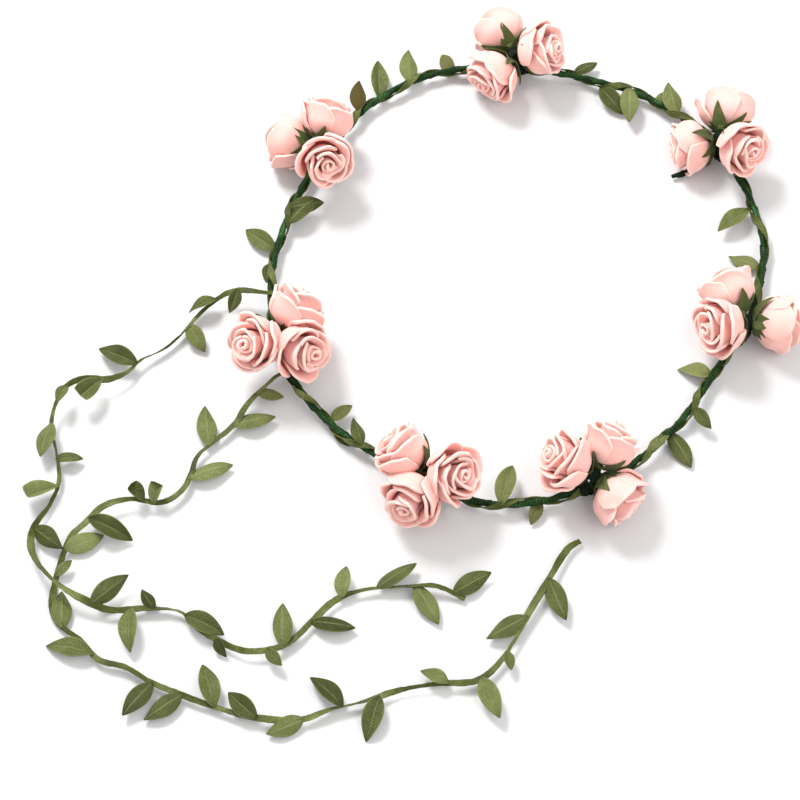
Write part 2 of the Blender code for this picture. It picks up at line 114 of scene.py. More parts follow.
# Every trailing end: where it leaves the hoop (bearing, and how far out from the wire), its route as steps
# from there (x, y, and height above the table), and its leaves (distance along, length, turn, and tilt).
TAILS = {
    "tail_upper": (
        (187.3, 0.0056),
        (
            (0.0, 0.0, 0.009),
            (-0.006, 0.001, 0.008),
            (-0.012, 0.0, 0.006),
            (-0.019, -0.005, 0.004),
            (-0.024, -0.011, 0.0035),
            (-0.032, -0.02, 0.003),
            (-0.041, -0.026, 0.004),
            (-0.046, -0.032, 0.005),
            (-0.053, -0.036, 0.007),
            (-0.06, -0.036, 0.008),
            (-0.067, -0.039, 0.008),
            (-0.071, -0.046, 0.006),
            (-0.072, -0.055, 0.0045),
            (-0.07, -0.063, 0.0035),
            (-0.068, -0.075, 0.003),
            (-0.071, -0.085, 0.003),
            (-0.075, -0.092, 0.0035),
            (-0.076, -0.1, 0.005),
            (-0.073, -0.108, 0.007),
            (-0.066, -0.116, 0.008),
            (-0.058, -0.121, 0.0065),
            (-0.047, -0.125, 0.004),
            (-0.035, -0.124, 0.003),
            (-0.023, -0.125, 0.003),
            (-0.017, -0.131, 0.003),
            (-0.009, -0.136, 0.003),
            (-0.001, -0.14, 0.004),
            (0.007, -0.14, 0.004),
            (0.015, -0.137, 0.003),
            (0.023, -0.129, 0.003),
            (0.031, -0.121, 0.003),
            (0.041, -0.117, 0.003),
            (0.054, -0.116, 0.0035),
            (0.066, -0.116, 0.004),
            (0.076, -0.12, 0.002),
        ),
        (
            (0.007, 0.01, 75, 0),
            (0.016, 0.012, -10, 8),
            (0.03, 0.013, 67, 5),
            (0.055, 0.017, -76, 8),
            (0.071, 0.017, 50, 0),
            (0.084, 0.009, 32, 20),
            (0.099, 0.015, -12, 8),
            (0.113, 0.01, 81, 8),
            (0.124, 0.02, -58, 5),
            (0.142, 0.015, 60, 14),
            (0.183, 0.017, 60, 8),
            (0.205, 0.009, 124, 8),
            (0.197, 0.017, -99, 10),
            (0.217, 0.016, 19, 12),
            (0.231, 0.008, -34, 4),
            (0.25, 0.009, -61, 4),
            (0.256, 0.016, 64, 10),
            (0.269, 0.016, -53, 2),
            (0.283, 0.012, 56, 15),
            (0.296, 0.017, 31, 6),
            (0.309, 0.017, -62, 2),
            (0.323, 0.016, 54, 8),
        ),
    ),
    "tail_lower": (
        (208.5, 0.0054),
        (
            (0.0, 0.0, 0.008),
            (-0.005, -0.004, 0.006),
            (-0.011, -0.01, 0.004),
            (-0.015, -0.017, 0.003),
            (-0.022, -0.024, 0.003),
            (-0.028, -0.03, 0.003),
            (-0.03, -0.037, 0.003),
            (-0.033, -0.044, 0.0035),
            (-0.04, -0.049, 0.004),
            (-0.051, -0.048, 0.005),
            (-0.06, -0.051, 0.0055),
            (-0.066, -0.057, 0.005),
            (-0.071, -0.062, 0.004),
            (-0.074, -0.07, 0.0025),
            (-0.076, -0.08, 0.0018),
            (-0.076, -0.089, 0.0018),
            (-0.072, -0.096, 0.0025),
            (-0.065, -0.101, 0.003),
            (-0.059, -0.108, 0.003),
            (-0.049, -0.111, 0.003),
            (-0.041, -0.116, 0.003),
            (-0.032, -0.12, 0.003),
            (-0.019, -0.125, 0.003),
            (-0.006, -0.129, 0.0035),
            (0.01, -0.13, 0.003),
            (0.021, -0.126, 0.003),
            (0.033, -0.123, 0.003),
            (0.045, -0.119, 0.003),
            (0.058, -0.117, 0.0035),
            (0.07, -0.116, 0.003),
            (0.077, -0.111, 0.003),
            (0.084, -0.101, 0.0035),
            (0.089, -0.091, 0.0035),
            (0.096, -0.079, 0.004),
            (0.103, -0.067, 0.003),
            (0.108, -0.063, 0.002),
        ),
        (
            (0.009, 0.01, 130, -4),
            (0.024, 0.016, 141, 4),
            (0.036, 0.017, -124, 6),
            (0.051, 0.017, 130, 4),
            (0.068, 0.012, -106, 25),
            (0.072, 0.012, -30, 20),
            (0.093, 0.018, 106, 2),
            (0.107, 0.015, 129, 0),
            (0.117, 0.008, 144, 8),
            (0.138, 0.015, 145, 0),
            (0.153, 0.018, -148, 2),
            (0.177, 0.016, -102, 6),
            (0.188, 0.016, -122, 3),
            (0.2, 0.017, 124, 6),
            (0.215, 0.014, 148, 8),
            (0.231, 0.014, -168, 2),
            (0.245, 0.016, 120, 8),
            (0.258, 0.017, -125, 3),
            (0.282, 0.011, 148, 12),
            (0.294, 0.017, -102, 3),
            (0.307, 0.008, -136, 5),
            (0.322, 0.017, 148, 4),
            (0.338, 0.017, -132, 3),
        ),
    ),
}

# Rose petals in rings from the middle out: how many, half the angle that each spans, how far one edge tucks
# in, how round the top is, and the petal's side view from foot to rim as (radius, height).
PETAL_RINGS = {
    "Inner": (
        (3, 80, 0.0008, 0.10),
        ((0.0010, 0.0025), (0.0028, 0.0050), (0.0039, 0.0090), (0.0041, 0.0125), (0.0045, 0.0150)),
    ),
    "Middle": (
        (4, 62, 0.0011, 0.22),
        ((0.0012, 0.0015), (0.0040, 0.0034), (0.0061, 0.0068), (0.0065, 0.0105), (0.0072, 0.0143)),
    ),
    "Outer": (
        (5, 56, 0.0012, 0.28),
        ((0.0014, 0.0005), (0.0048, 0.0018), (0.0080, 0.0048), (0.0088, 0.0088), (0.0097, 0.0126)),
    ),
}
# The side views of a sepal, and of the small round foot that it grows from.
SEPAL_SIDE = (
    (0.0007, -0.0013),
    (0.0026, -0.0006),
    (0.0052, 0.0009),
    (0.0076, 0.0031),
    (0.0090, 0.0056),
    (0.0096, 0.0082),
)
RECEPTACLE_SIDE = (
    (0.0, -0.0032),
    (0.0010, -0.0031),
    (0.0013, -0.0022),
    (0.0021, -0.0014),
    (0.0027, -0.0008),
    (0.0018, -0.0003),
    (0.0, -0.0002),
)
TOUCH = 0.0001  # the lowest that anything lies above the table
SOFT_REACH = 0.004  # how high up foam and cloth give way to the table
SQUASH = 0.0016  # how far the roses of a trio press in towards their knot
ROSES = (1, 2, 3)
TRIOS = ("back", "back_right", "right", "front_right", "front_left", "left", "back_left")


# ---------------------------------------------------------------- curves
def spline(before, start, end, after, t):
    """A point of the smooth curve through the four values, from start at t = 0 to end at t = 1."""
    bend = 2 * before - 5 * start + 4 * end - after
    twist = 3 * start - before - 3 * end + after
    return 0.5 * (2 * start + (end - before) * t + bend * t**2 + twist * t**3)


def smooth(points, step):
    """Evenly spaced points along the smooth curve through the points given."""
    points = [Vector(point) for point in points]
    ends = [2 * points[0] - points[1], *points, 2 * points[-1] - points[-2]]
    fine = [
        spline(*ends[i : i + 4], k / SMOOTH_STEPS)
        for i in range(len(points) - 1)
        for k in range(SMOOTH_STEPS)
    ]
    fine.append(points[-1])
    fine = np.array(fine)
    lengths = np.concatenate([[0.0], np.cumsum(np.linalg.norm(np.diff(fine, axis=0), axis=1))])
    count = max(2, round(lengths[-1] / step))
    wanted = np.linspace(0, lengths[-1], count + 1)
    return [Vector(row) for row in np.stack([np.interp(wanted, lengths, axis) for axis in fine.T], axis=1)]


def corners_of(node):
    """The corners of a CAD node, each once."""
    mesh = NODES[node].data
    corners = np.empty(len(mesh.vertices) * 3)
    mesh.vertices.foreach_get("co", corners)
    return np.unique(corners.reshape(-1, 3).round(7), axis=0)


def read_hoop():
    """The wire's middle line as (bearing, point), found from the rings of corners of the CAD wire."""
    corners = corners_of("hoop_wire")
    turns = (np.degrees(np.arctan2(corners[:, 1], corners[:, 0])) - RIBBON_SEAM) % 360
    order = np.argsort(turns)
    breaks = np.flatnonzero(np.diff(turns[order]) > 2.0) + 1
    rings = [corners[ring].mean(axis=0) for ring in np.split(order, breaks)]
    stations = [(math.degrees(math.atan2(y, x)) % 360, Vector((x, y, z))) for x, y, z in rings]
    return sorted(stations, key=lambda station: station[0])


HOOP = read_hoop()


def hoop_point(bearing, out=0.0, up=0.0):
    """A point beside the middle of the wire."""
    bearing %= 360
    count = len(HOOP)
    i = next((k for k in range(count) if HOOP[k][0] > bearing), 0) - 1
    start, end = HOOP[i % count][0], HOOP[(i + 1) % count][0]
    share = ((bearing - start) % 360) / ((end - start) % 360)
    around = [math.hypot(*HOOP[(i + k) % count][1].xy) for k in (-1, 0, 1, 2)]
    reach = spline(*around, share) + out
    angle = math.radians(bearing)
    return Vector((reach * math.cos(angle), reach * math.sin(angle), HOOP[0][1].z + up))


def hoop_axes(bearing):
    """The directions out, along (anticlockwise) and up of the wire at a bearing."""
    along = (hoop_point(bearing + 1.5) - hoop_point(bearing - 1.5)).normalized()
    return along.cross(UP), along, UP


def placed(origin, x_axis, y_axis, z_axis):
    """The matrix with these columns."""
    rows = Matrix((x_axis, y_axis, z_axis)).transposed().to_4x4()
    rows.translation = origin
    return rows


def rose_place(trio, k):
    """A rose's foot, with +Z along its stem, from the round CAD rose and calyx that share that axis."""
    rose = corners_of(f"rose_{trio}_{k}")
    calyx = corners_of(f"calyx_{trio}_{k}")
    axis = Vector(rose.mean(axis=0) - calyx.mean(axis=0)).normalized()
    reach = rose @ np.array(axis)
    foot = Vector(rose.mean(axis=0))
    foot += axis * (reach.min() - foot.dot(axis))
    x_axis = axis.cross(UP if abs(axis.z) < 0.9 else SIDEWAYS).normalized()
    return placed(foot, x_axis, axis.cross(x_axis), axis)


def pressed_place(trio, k):
    """A rose's foot where it is pressed in towards its knot."""
    return rose_place(trio, k) @ Matrix.Translation((0, 0, -SQUASH))


def trio_places(trio):
    """The hinge's place and the point where the three stems meet, with the places of the roses."""
    roses = [rose_place(trio, k) for k in ROSES]
    weights = np.zeros((3, 3))
    pull = np.zeros(3)
    for place in roses:
        axis = np.array(place.col[2].xyz)
        across = np.eye(3) - np.outer(axis, axis)
        weights += across
        pull += across @ np.array(place.translation)
    knot = Vector(np.linalg.solve(weights, pull))
    joint = next(joint for joint in frame["joints"] if joint["child"] == "trio_" + trio)
    along = Vector(joint["axis"]).normalized()
    hinge = placed(Vector(joint["pos_m"]), along.cross(UP), along, UP)
    return hinge, knot, roses


# ---------------------------------------------------------------- nodes
class Wire:
    """A socket that Python's operators work on, by adding Math nodes."""

    def __init__(self, graph, socket):
        self.graph = graph
        self.socket = socket

    def math(self, operation, *others):
        return self.graph.wire("ShaderNodeMath", {"operation": operation}, dict(enumerate((self, *others))))

    def __add__(self, other):
        return self.math("ADD", other)

    __radd__ = __add__

    def __mul__(self, other):
        return self.math("MULTIPLY", other)

    __rmul__ = __mul__

    def __sub__(self, other):
        return self.math("SUBTRACT", other)

    def __rsub__(self, other):
        return self * -1 + other

    def __truediv__(self, other):
        return self.math("DIVIDE", other)


class Graph:
    """A node tree. Every node of it is added in one way."""

    def __init__(self, tree):
        self.tree = tree

    def node(self, kind, settings=None, sockets=None):
        """Adds a node: its settings first, then the values or links of its sockets."""
        node = self.tree.nodes.new(kind)
        for name, value in (settings or {}).items():
            if name == "stops":
                ramp = node.color_ramp.elements
                while len(ramp) < len(value):
                    ramp.new(1.0)
                for stop, (position, colour) in zip(ramp, value):
                    stop.position = position
                    stop.color = (*colour, 1.0)
            else:
                setattr(node, name, value)
        for name, value in (sockets or {}).items():
            value = value.socket if isinstance(value, Wire) else value
            if isinstance(value, bpy.types.NodeSocket):
                self.tree.links.new(value, node.inputs[name])
            else:
                node.inputs[name].default_value = value
        return node

    def wire(self, kind, settings=None, sockets=None, output=0):
        """Adds a node and gives one output of it."""
        return Wire(self, self.node(kind, settings, sockets).outputs[output])

    def vector(self, x, y, z):
        return self.wire("ShaderNodeCombineXYZ", None, {0: x, 1: y, 2: z})


class Finish(Graph):
    """A material made of nodes, on a Principled shader."""

    def __init__(self, name, **constants):
        self.material = bpy.data.materials.new(name)
        self.material.use_nodes = True
        super().__init__(self.material.node_tree)
        self.shader = self.tree.nodes["Principled BSDF"]
        for socket, value in constants.items():
            self.shader.inputs[socket.replace("_", " ")].default_value = value
        self.place = self.wire("ShaderNodeTexCoord", output=3)

    def attribute(self, name):
        return self.wire("ShaderNodeAttribute", {"attribute_name": name}, output=2)

    def noise(self, scale, detail=3.0, roughness=0.55, vector=None):
        sockets = {"Vector": vector or self.place, "Scale": scale, "Detail": detail, "Roughness": roughness}
        return self.wire("ShaderNodeTexNoise", None, sockets)

    def ramp(self, factor, *stops):
        return self.wire("ShaderNodeValToRGB", {"stops": stops}, {"Fac": factor})

    def fade(self, value, low, high):
        """0 where the value is low and 1 where it is high, smooth between."""
        sockets = {"Value": value, "From Min": low, "From Max": high}
        return self.wire("ShaderNodeMapRange", {"interpolation_type": "SMOOTHSTEP"}, sockets)

    def mix(self, first, second, factor):
        """Two colours mixed. A plain colour is a tuple."""
        settings = {"data_type": "RGBA"}
        colours = [(*c, 1.0) if isinstance(c, tuple) else c for c in (first, second)]
        return self.wire("ShaderNodeMix", settings, {0: factor, 6: colours[0], 7: colours[1]}, output=2)

    def bump(self, height, distance, strength=1.0, under=None):
        sockets = {"Height": height, "Distance": distance, "Strength": strength}
        if under:
            sockets["Normal"] = under
        return self.wire("ShaderNodeBump", None, sockets)

    def set(self, **sockets):
        for name, wire in sockets.items():
            self.tree.links.new(wire.socket, self.shader.inputs[name.replace("_", " ")])
        return self.material


class Recipe(Graph):
    """A geometry node tree with named inputs."""

    KINDS = {
        "float": "NodeSocketFloat",
        "int": "NodeSocketInt",
        "geometry": "NodeSocketGeometry",
        "material": "NodeSocketMaterial",
        "collection": "NodeSocketCollection",
    }

    def __init__(self, name, **inputs):
        super().__init__(bpy.data.node_groups.new(name, "GeometryNodeTree"))
        self.tree.interface.new_socket("Geometry", in_out="INPUT", socket_type="NodeSocketGeometry")
        for label, kind in inputs.items():
            label = label.replace("_", " ")
            self.tree.interface.new_socket(label, in_out="INPUT", socket_type=self.KINDS[kind])
        self.tree.interface.new_socket("Geometry", in_out="OUTPUT", socket_type="NodeSocketGeometry")
        self.entry = self.node("NodeGroupInput")

    def given(self, label):
        return Wire(self, self.entry.outputs[label])

    def random(self, low, high, seed, kind="FLOAT"):
        """A random number for each point."""
        first, output = {"FLOAT": (2, 1), "INT": (4, 2)}[kind]
        sockets = {first: low, first + 1: high, 8: seed}
        return self.wire("FunctionNodeRandomValue", {"data_type": kind}, sockets, output)

    def named(self, name, kind="FLOAT"):
        return self.wire("GeometryNodeInputNamedAttribute", {"data_type": kind}, {"Name": name})

    def store(self, geometry, name, value, domain="POINT"):
        settings = {"data_type": "FLOAT", "domain": domain}
        sockets = {"Geometry": geometry, "Name": name, "Value": value}
        return self.wire("GeometryNodeStoreNamedAttribute", settings, sockets)

    def vector_math(self, operation, first, other):
        """Adds a Vector Math node, whose other input is a number where it scales."""
        second = "Scale" if operation == "SCALE" else 1
        return self.wire("ShaderNodeVectorMath", {"operation": operation}, {0: first, second: other})

    def noise_offset(self, geometry, scale, amount, seed, mask=1.0):
        """Moves points by a smooth random vector, as far as the mask lets them."""
        shift = self.vector(seed, seed * 2.3, seed * 5.1)
        shifted = self.vector_math("ADD", self.wire("GeometryNodeInputPosition"), shift)
        colour = self.wire("ShaderNodeTexNoise", None, {"Vector": shifted, "Scale": scale, "Detail": 1.0}, 1)
        centred = self.vector_math("SUBTRACT", colour, (0.5, 0.5, 0.5))
        offset = self.vector_math("SCALE", centred, mask * amount * 2)
        return self.wire("GeometryNodeSetPosition", None, {"Geometry": geometry, "Offset": offset})

    def scatter(self, points, patterns, pick, rotation, scale):
        """Sets one pattern of the collection of that input at each point."""
        patterns = self.wire("GeometryNodeCollectionInfo", None, {0: self.given(patterns), 1: True, 2: True})
        sockets = {
            "Points": points,
            "Instance": patterns,
            "Pick Instance": True,
            "Instance Index": pick,
            "Rotation": rotation,
            "Scale": scale,
        }
        return self.wire("GeometryNodeInstanceOnPoints", None, sockets)

    def swept(self, spacing, outline, scale, sides):
        """Sweeps the outline made from a ring along the given line, keeping where each point lies on both."""
        route = {"Curve": self.given("Geometry"), "Length": spacing}
        line = self.wire("GeometryNodeResampleCurve", {"mode": "LENGTH"}, route)
        line = self.store(line, "along", self.wire("GeometryNodeSplineParameter", output=1))
        ring = self.wire("GeometryNodeCurvePrimitiveCircle", None, {"Resolution": sides, "Radius": 1.0})
        ring = self.store(ring, "around", self.wire("GeometryNodeSplineParameter", output=0))
        sockets = {"Curve": line, "Profile Curve": outline(ring), "Scale": scale, "Fill Caps": True}
        return self.wire("GeometryNodeCurveToMesh", None, sockets)

    def close(self, geometry, material):
        """Realises the instances, sets the material and ends the tree."""
        whole = self.wire("GeometryNodeRealizeInstances", None, {"Geometry": geometry})
        finished = self.wire("GeometryNodeSetMaterial", None, {"Geometry": whole, "Material": material})
        self.node("NodeGroupOutput", None, {"Geometry": finished})
        return self.tree


# ---------------------------------------------------------------- meshes
def mesh_object(name, mesh, material=None):
    obj = bpy.data.objects.new(name, mesh)
    bpy.context.scene.collection.objects.link(obj)
    if material:
        mesh.materials.clear()
        mesh.materials.append(material)
    return obj


def evaluated_mesh(obj):
    """The object's mesh with its modifiers in it. The object itself goes."""
    bpy.context.view_layer.update()
    graph = bpy.context.evaluated_depsgraph_get()
    mesh = bpy.data.meshes.new_from_object(
        obj.evaluated_get(graph), preserve_all_data_layers=True, depsgraph=graph
    )
    bpy.data.objects.remove(obj)
    return mesh


def settle(mesh):
    """Flattens what would sink into the table, as foam and cloth do where they rest on it."""
    points = np.empty(len(mesh.vertices) * 3)
    mesh.vertices.foreach_get("co", points)
    heights = points[2::3]
    low, top = heights.min(), TOUCH + SOFT_REACH
    if low < TOUCH:
        soft = heights < top
        heights[soft] += (TOUCH - low) * (top - heights[soft]) / (top - low)
        mesh.vertices.foreach_set("co", points)


def run_recipe(source, tree, name, place=None, **values):
    """Runs a geometry node tree on an object and gives the plain mesh object that it makes."""
    modifier = source.modifiers.new(tree.name, "NODES")
    modifier.node_group = tree
    for item in tree.interface.items_tree:
        key = item.name.replace(" ", "_")
        if item.in_out == "INPUT" and key in values:
            modifier[item.identifier] = values[key]
    mesh = evaluated_mesh(source)
    if place is not None:
        mesh.transform(place)
    settle(mesh)
    mesh.shade_smooth()
    obj = mesh_object(name, mesh)
    mesh.name = name
    return obj


def add_modifier(obj, kind, **settings):
    modifier = obj.modifiers.new(kind.title(), kind)
    for name, value in settings.items():
        setattr(modifier, name, value)
    return modifier


def sheet_mesh(name, columns, rows, point, facts):
    """A grid surface: point(u, v) gives a place, and facts(u, v) the values to keep at it."""
    bm = bmesh.new()
    for fact in facts(0.0, 0.0):
        bm.verts.layers.float.new(fact)
    layers = dict(bm.verts.layers.float.items())
    grid = []
    for v in rows:
        grid.append([bm.verts.new(point(u, v)) for u in columns])
        for u, vert in zip(columns, grid[-1]):
            for fact, value in facts(u, v).items():
                vert[layers[fact]] = value
    for low, high in zip(grid, grid[1:]):
        for i in range(len(low) - 1):
            bm.faces.new((low[i], low[i + 1], high[i + 1], high[i]))
    mesh = bpy.data.meshes.new(name)
    bm.to_mesh(mesh)
    bm.free()
    return mesh


def thickened(name, mesh, thickness):
    """A sheet given a thickness with rounded rims, as a pattern object for a recipe."""
    obj = mesh_object(name, mesh)
    add_modifier(obj, "SOLIDIFY", thickness=thickness, offset=0.0, use_even_offset=False)
    add_modifier(obj, "SUBSURF", levels=1, render_levels=1)
    pattern = mesh_object(name, evaluated_mesh(obj))
    pattern.hide_render = True
    return pattern


def pattern_collection(name, patterns):
    """A collection of pattern objects that a recipe picks from."""
    collection = bpy.data.collections.new(name)
    bpy.context.scene.collection.children.link(collection)
    for pattern in patterns:
        bpy.context.scene.collection.objects.unlink(pattern)
        collection.objects.link(pattern)
    return collection


def clear_patterns(*collections):
    for collection in collections:
        for pattern in list(collection.objects):
            bpy.data.objects.remove(pattern)
        bpy.data.collections.remove(collection)


def empty_start():
    """An empty mesh for a recipe that makes all its own shapes."""
    return mesh_object("start", bpy.data.meshes.new("start"))


def curve_object(name, points, tilts=None, radii=None):
    """A bare line through points, with a tilt and a radius at each."""
    curve = bpy.data.curves.new(name, "CURVE")
    curve.dimensions = "3D"
    curve.twist_mode = "Z_UP"
    line = curve.splines.new("POLY")
    line.points.add(len(points) - 1)
    for i, point in enumerate(points):
        line.points[i].co = (*point, 1.0)
        line.points[i].tilt = tilts[i] if tilts else 0.0
        line.points[i].radius = radii[i] if radii else 1.0
    obj = bpy.data.objects.new(name, curve)
    bpy.context.scene.collection.objects.link(obj)
    return obj


def keep(piece, body, slot, *nodes):
    """Attaches a finished piece to the body it rides on and hides the CAD parts it stands for; the slot is
    not used.
    """
    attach(piece, body)
    if nodes:
        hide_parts(*nodes)


# ---------------------------------------------------------------- finishes
@functools.cache
def foam_finish():
    """Matt sheet foam: a painted highlight on the rims, painted coral shade in the folds, and a fine
    closed-cell skin.
    """
    look = bpy.context.scene.crown_roses
    foam = Finish(
        "rose_foam",
        Roughness=0.72,
        Specular_IOR_Level=0.25,
        Subsurface_Weight=0.22,
        Subsurface_Radius=(0.0022, 0.0010, 0.0007),
        Subsurface_Scale=1.0,
        Sheen_Weight=0.12,
        Sheen_Roughness=0.5,
    )
    rise = foam.attribute("rise")
    rim = foam.attribute("rim")
    inside = foam.attribute("inside")
    shade = foam.attribute("petal_shade")
    cloud = foam.noise(260.0, 2.0)
    # Painted shade: deeper towards the foot of each petal on the skins that face the middle, standing in for
    # the shade between the petals.
    depth = (1.0 - rise) * 1.25 * (inside * 0.85 + 0.15) + (cloud - 0.5) * 0.25
    body = foam.mix(tuple(look.petal_colour), tuple(look.fold_painted_shade), foam.fade(depth, 0.12, 0.85))
    # More painted fold shade on the inner skins, by a random amount for each petal.
    warm = foam.mix(body, tuple(look.fold_painted_shade), shade * 0.22 * inside)
    # Painted highlight: the petal rims are mixed towards a pale colour, as if light catches them.
    edge = foam.fade(rim + (cloud - 0.5) * 0.3, 0.35, 1.0)
    colour = foam.mix(warm, tuple(look.rim_painted_highlight), edge * 0.6)
    cells = foam.noise(5200.0, 2.0, 0.6)
    dents = foam.noise(420.0, 2.0, 0.5)
    soft = foam.bump(dents, 0.00025, 0.35)
    skin = foam.bump(cells, 0.00004, 0.35, soft)
    matt = foam.fade(cells, 0.2, 0.9) * 0.14 + 0.66
    return foam.set(Base_Color=colour, Roughness=matt, Normal=skin)


def weave(fabric, along, across, threads_along, threads_across):
    """Height of a woven cloth, from two families of threads that cross at a slant."""
    wobble = fabric.noise(900.0, 2.0) * 1.6
    first = (along * threads_along + across * threads_across + wobble).math("SINE")
    second = (along * threads_along * -1 + across * threads_across + wobble).math("SINE")
    return (first * second) * 0.5 + 0.5


SATIN = {
    "Specular_IOR_Level": 0.18,
    "Sheen_Weight": 0.03,
    "Sheen_Roughness": 0.4,
    "Sheen_Tint": (0.75, 0.85, 0.5, 1.0),
}


def satin_stops():
    """The greens that the leaves and their ribbon share, from the darkest."""
    look = bpy.context.scene.crown_ribbon
    return (0.0, tuple(look.leaf_dark)), (0.55, tuple(look.leaf_colour)), (1.0, tuple(look.leaf_light))


@functools.cache
def leaf_finish():
    """Olive satin leaf: a fine slanted weave, a pressed midrib with side veins, and paler towards the edges.
    """
    look = bpy.context.scene.crown_ribbon
    leaf = Finish("leaf_satin", **SATIN)
    along = leaf.attribute("along")
    across = leaf.attribute("across")
    tint = leaf.attribute("leaf_tint")
    brown = leaf.attribute("leaf_brown")
    side = across.math("ABSOLUTE")
    threads = weave(leaf, along, across, 118.0, 30.0)
    cloud = leaf.noise(190.0, 3.0)
    speck = leaf.noise(2600.0, 2.0, 0.6)
    # The random tone of each leaf also stands in for painted light and shade on leaves turned towards or away
    # from the light.
    level = tint * 0.72 + cloud * 0.45 + threads * threads * 0.95 + (speck - 0.5) * 1.1 - 0.47
    green = leaf.ramp(level, *satin_stops())
    rib = leaf.fade(side, 0.10, 0.02)
    slant = (along * 26.0 - side * 11.0).math("SINE")
    veins = leaf.fade(slant, 0.93, 1.0) * leaf.fade(side, 0.95, 0.35)
    ribbed = leaf.mix(green, tuple(look.leaf_light), rib * 0.35 + veins * 0.12)
    # Paler towards the edges of the leaf.
    paler_edged = leaf.mix(ribbed, tuple(look.leaf_light), leaf.fade(side, 0.86, 1.0) * 0.35)
    colour = leaf.mix(paler_edged, (0.070, 0.040, 0.005), brown * 0.85)
    pressed = leaf.bump(rib * -1.0 + veins * -0.35, 0.00018, 0.8)
    cloth = leaf.bump(threads, 0.00012, 0.8, pressed)
    return leaf.set(Base_Color=colour, Roughness=0.62 - threads * 0.16 + (cloud - 0.5) * 0.2, Normal=cloth)


@functools.cache
def ribbon_finish():
    """The narrow satin ribbon that carries the leaves: close ribs and a cloudy tone."""
    ribbon = Finish("ribbon_satin", **SATIN)
    along = ribbon.attribute("along")
    around = ribbon.attribute("around")
    threads = weave(ribbon, along, around, 7400.0, 44.0)
    cloud = ribbon.noise(110.0, 3.0)
    speck = ribbon.noise(2400.0, 2.0, 0.6)
    level = cloud * 1.3 + threads * threads * 0.45 + (speck - 0.5) * 0.7 - 0.36
    colour = ribbon.ramp(level, *satin_stops())
    creases = ribbon.noise(700.0, 3.0, 0.6)
    folded = ribbon.bump(creases, 0.0004, 0.5)
    cloth = ribbon.bump(threads, 0.00006, 0.7, folded)
    return ribbon.set(Base_Color=colour, Roughness=0.6 - threads * 0.15, Normal=cloth)


@functools.cache
def tape_finish():
    """Waxed crepe tape: dark emerald, creased across, with painted near-black shade and painted bright-green
    highlights in cloudy patches, and a dull wax shine on the high spots.
    """
    look = bpy.context.scene.crown_tape
    tape = Finish("waxed_tape", Specular_IOR_Level=0.15, Coat_Roughness=0.25)
    along = tape.attribute("along")
    around = tape.attribute("around")
    crepe = (along * 5200.0 + around * 9.0 + tape.noise(600.0, 2.0) * 7.0).math("SINE") * 0.5 + 0.5
    cloud = tape.noise(150.0, 3.0)
    # Painted shade and highlight: the cloudy level runs from dark creased shade to bright-green highlights.
    level = cloud * 1.7 + crepe * 0.35 - 0.62
    dark = tuple(look.tape_dark)
    colour = tape.ramp(level, (0.0, dark), (0.6, tuple(look.tape_colour)), (1.0, tuple(look.tape_light)))
    wrinkled = tape.bump(crepe * 0.6 + tape.noise(1500.0, 3.0) * 0.8, 0.0003, 0.9)
    return tape.set(
        Base_Color=colour,
        Roughness=0.5 - crepe * 0.14,
        Coat_Weight=tape.fade(cloud, 0.45, 0.7) * 0.18,
        Normal=wrinkled,
    )


@functools.cache
def binding_finish():
    """The same tape pulled tight and doubled over itself, with its folds painted nearly black as shade."""
    look = bpy.context.scene.crown_tape
    tape = Finish("binding_tape", Specular_IOR_Level=0.15)
    folds = tape.noise(520.0, 4.0, 0.6)
    fine = tape.noise(2400.0, 3.0, 0.6)
    level = folds * 1.1 + fine * 0.3 - 0.3
    # Painted shade: near black in the folds, standing in for the shade where the stems meet.
    painted_shade_black = (0.003, 0.006, 0.003)
    colour = tape.ramp(level, (0.0, painted_shade_black), (0.55, tuple(look.tape_dark)), (1.0, tuple(look.tape_colour)))
    wrinkled = tape.bump(folds * 0.7 + fine * 0.5, 0.0004, 0.8)
    return tape.set(Base_Color=colour, Roughness=0.72 - folds * 0.2, Normal=wrinkled)


@functools.cache
def calyx_finish():
    """Matt pressed paper with long fibres, paler and dustier in cloudy patches."""
    paper = Finish("calyx_paper", Specular_IOR_Level=0.15, Sheen_Weight=0.05, Sheen_Roughness=0.6)
    along = paper.attribute("along")
    across = paper.attribute("across")
    stretched = paper.vector(along * 4.0, across * 26.0, 0.0)
    fibres = paper.noise(3.0, 3.0, 0.6, stretched)
    grain = paper.noise(1800.0, 2.0)
    cloud = paper.noise(240.0, 2.0)
    level = cloud * 0.7 + fibres * 0.35 + (grain - 0.5) * 0.25 - 0.02
    dark, green, dusty = (0.028, 0.036, 0.008), (0.084, 0.104, 0.028), (0.17, 0.20, 0.075)
    colour = paper.ramp(level, (0.0, dark), (0.55, green), (1.0, dusty))
    rib = paper.fade(across.math("ABSOLUTE"), 0.12, 0.0)
    crease = paper.bump(rib * -1.0, 0.0002, 0.6)
    rough = paper.bump(grain + fibres, 0.00006, 0.6, crease)
    return paper.set(Base_Color=colour, Roughness=0.85 - fibres * 0.1, Normal=rough)


@functools.cache
def glue_finish():
    """Set glue: milky and smooth."""
    depth = (0.002, 0.002, 0.002)
    glue = Finish("set_glue", Specular_IOR_Level=0.6, Subsurface_Weight=0.3, Subsurface_Radius=depth)
    cloud = glue.noise(900.0, 2.0)
    milky = glue.mix((0.75, 0.74, 0.70), (0.9, 0.9, 0.88), cloud)
    return glue.set(Base_Color=milky, Roughness=cloud * 0.2 + 0.2)


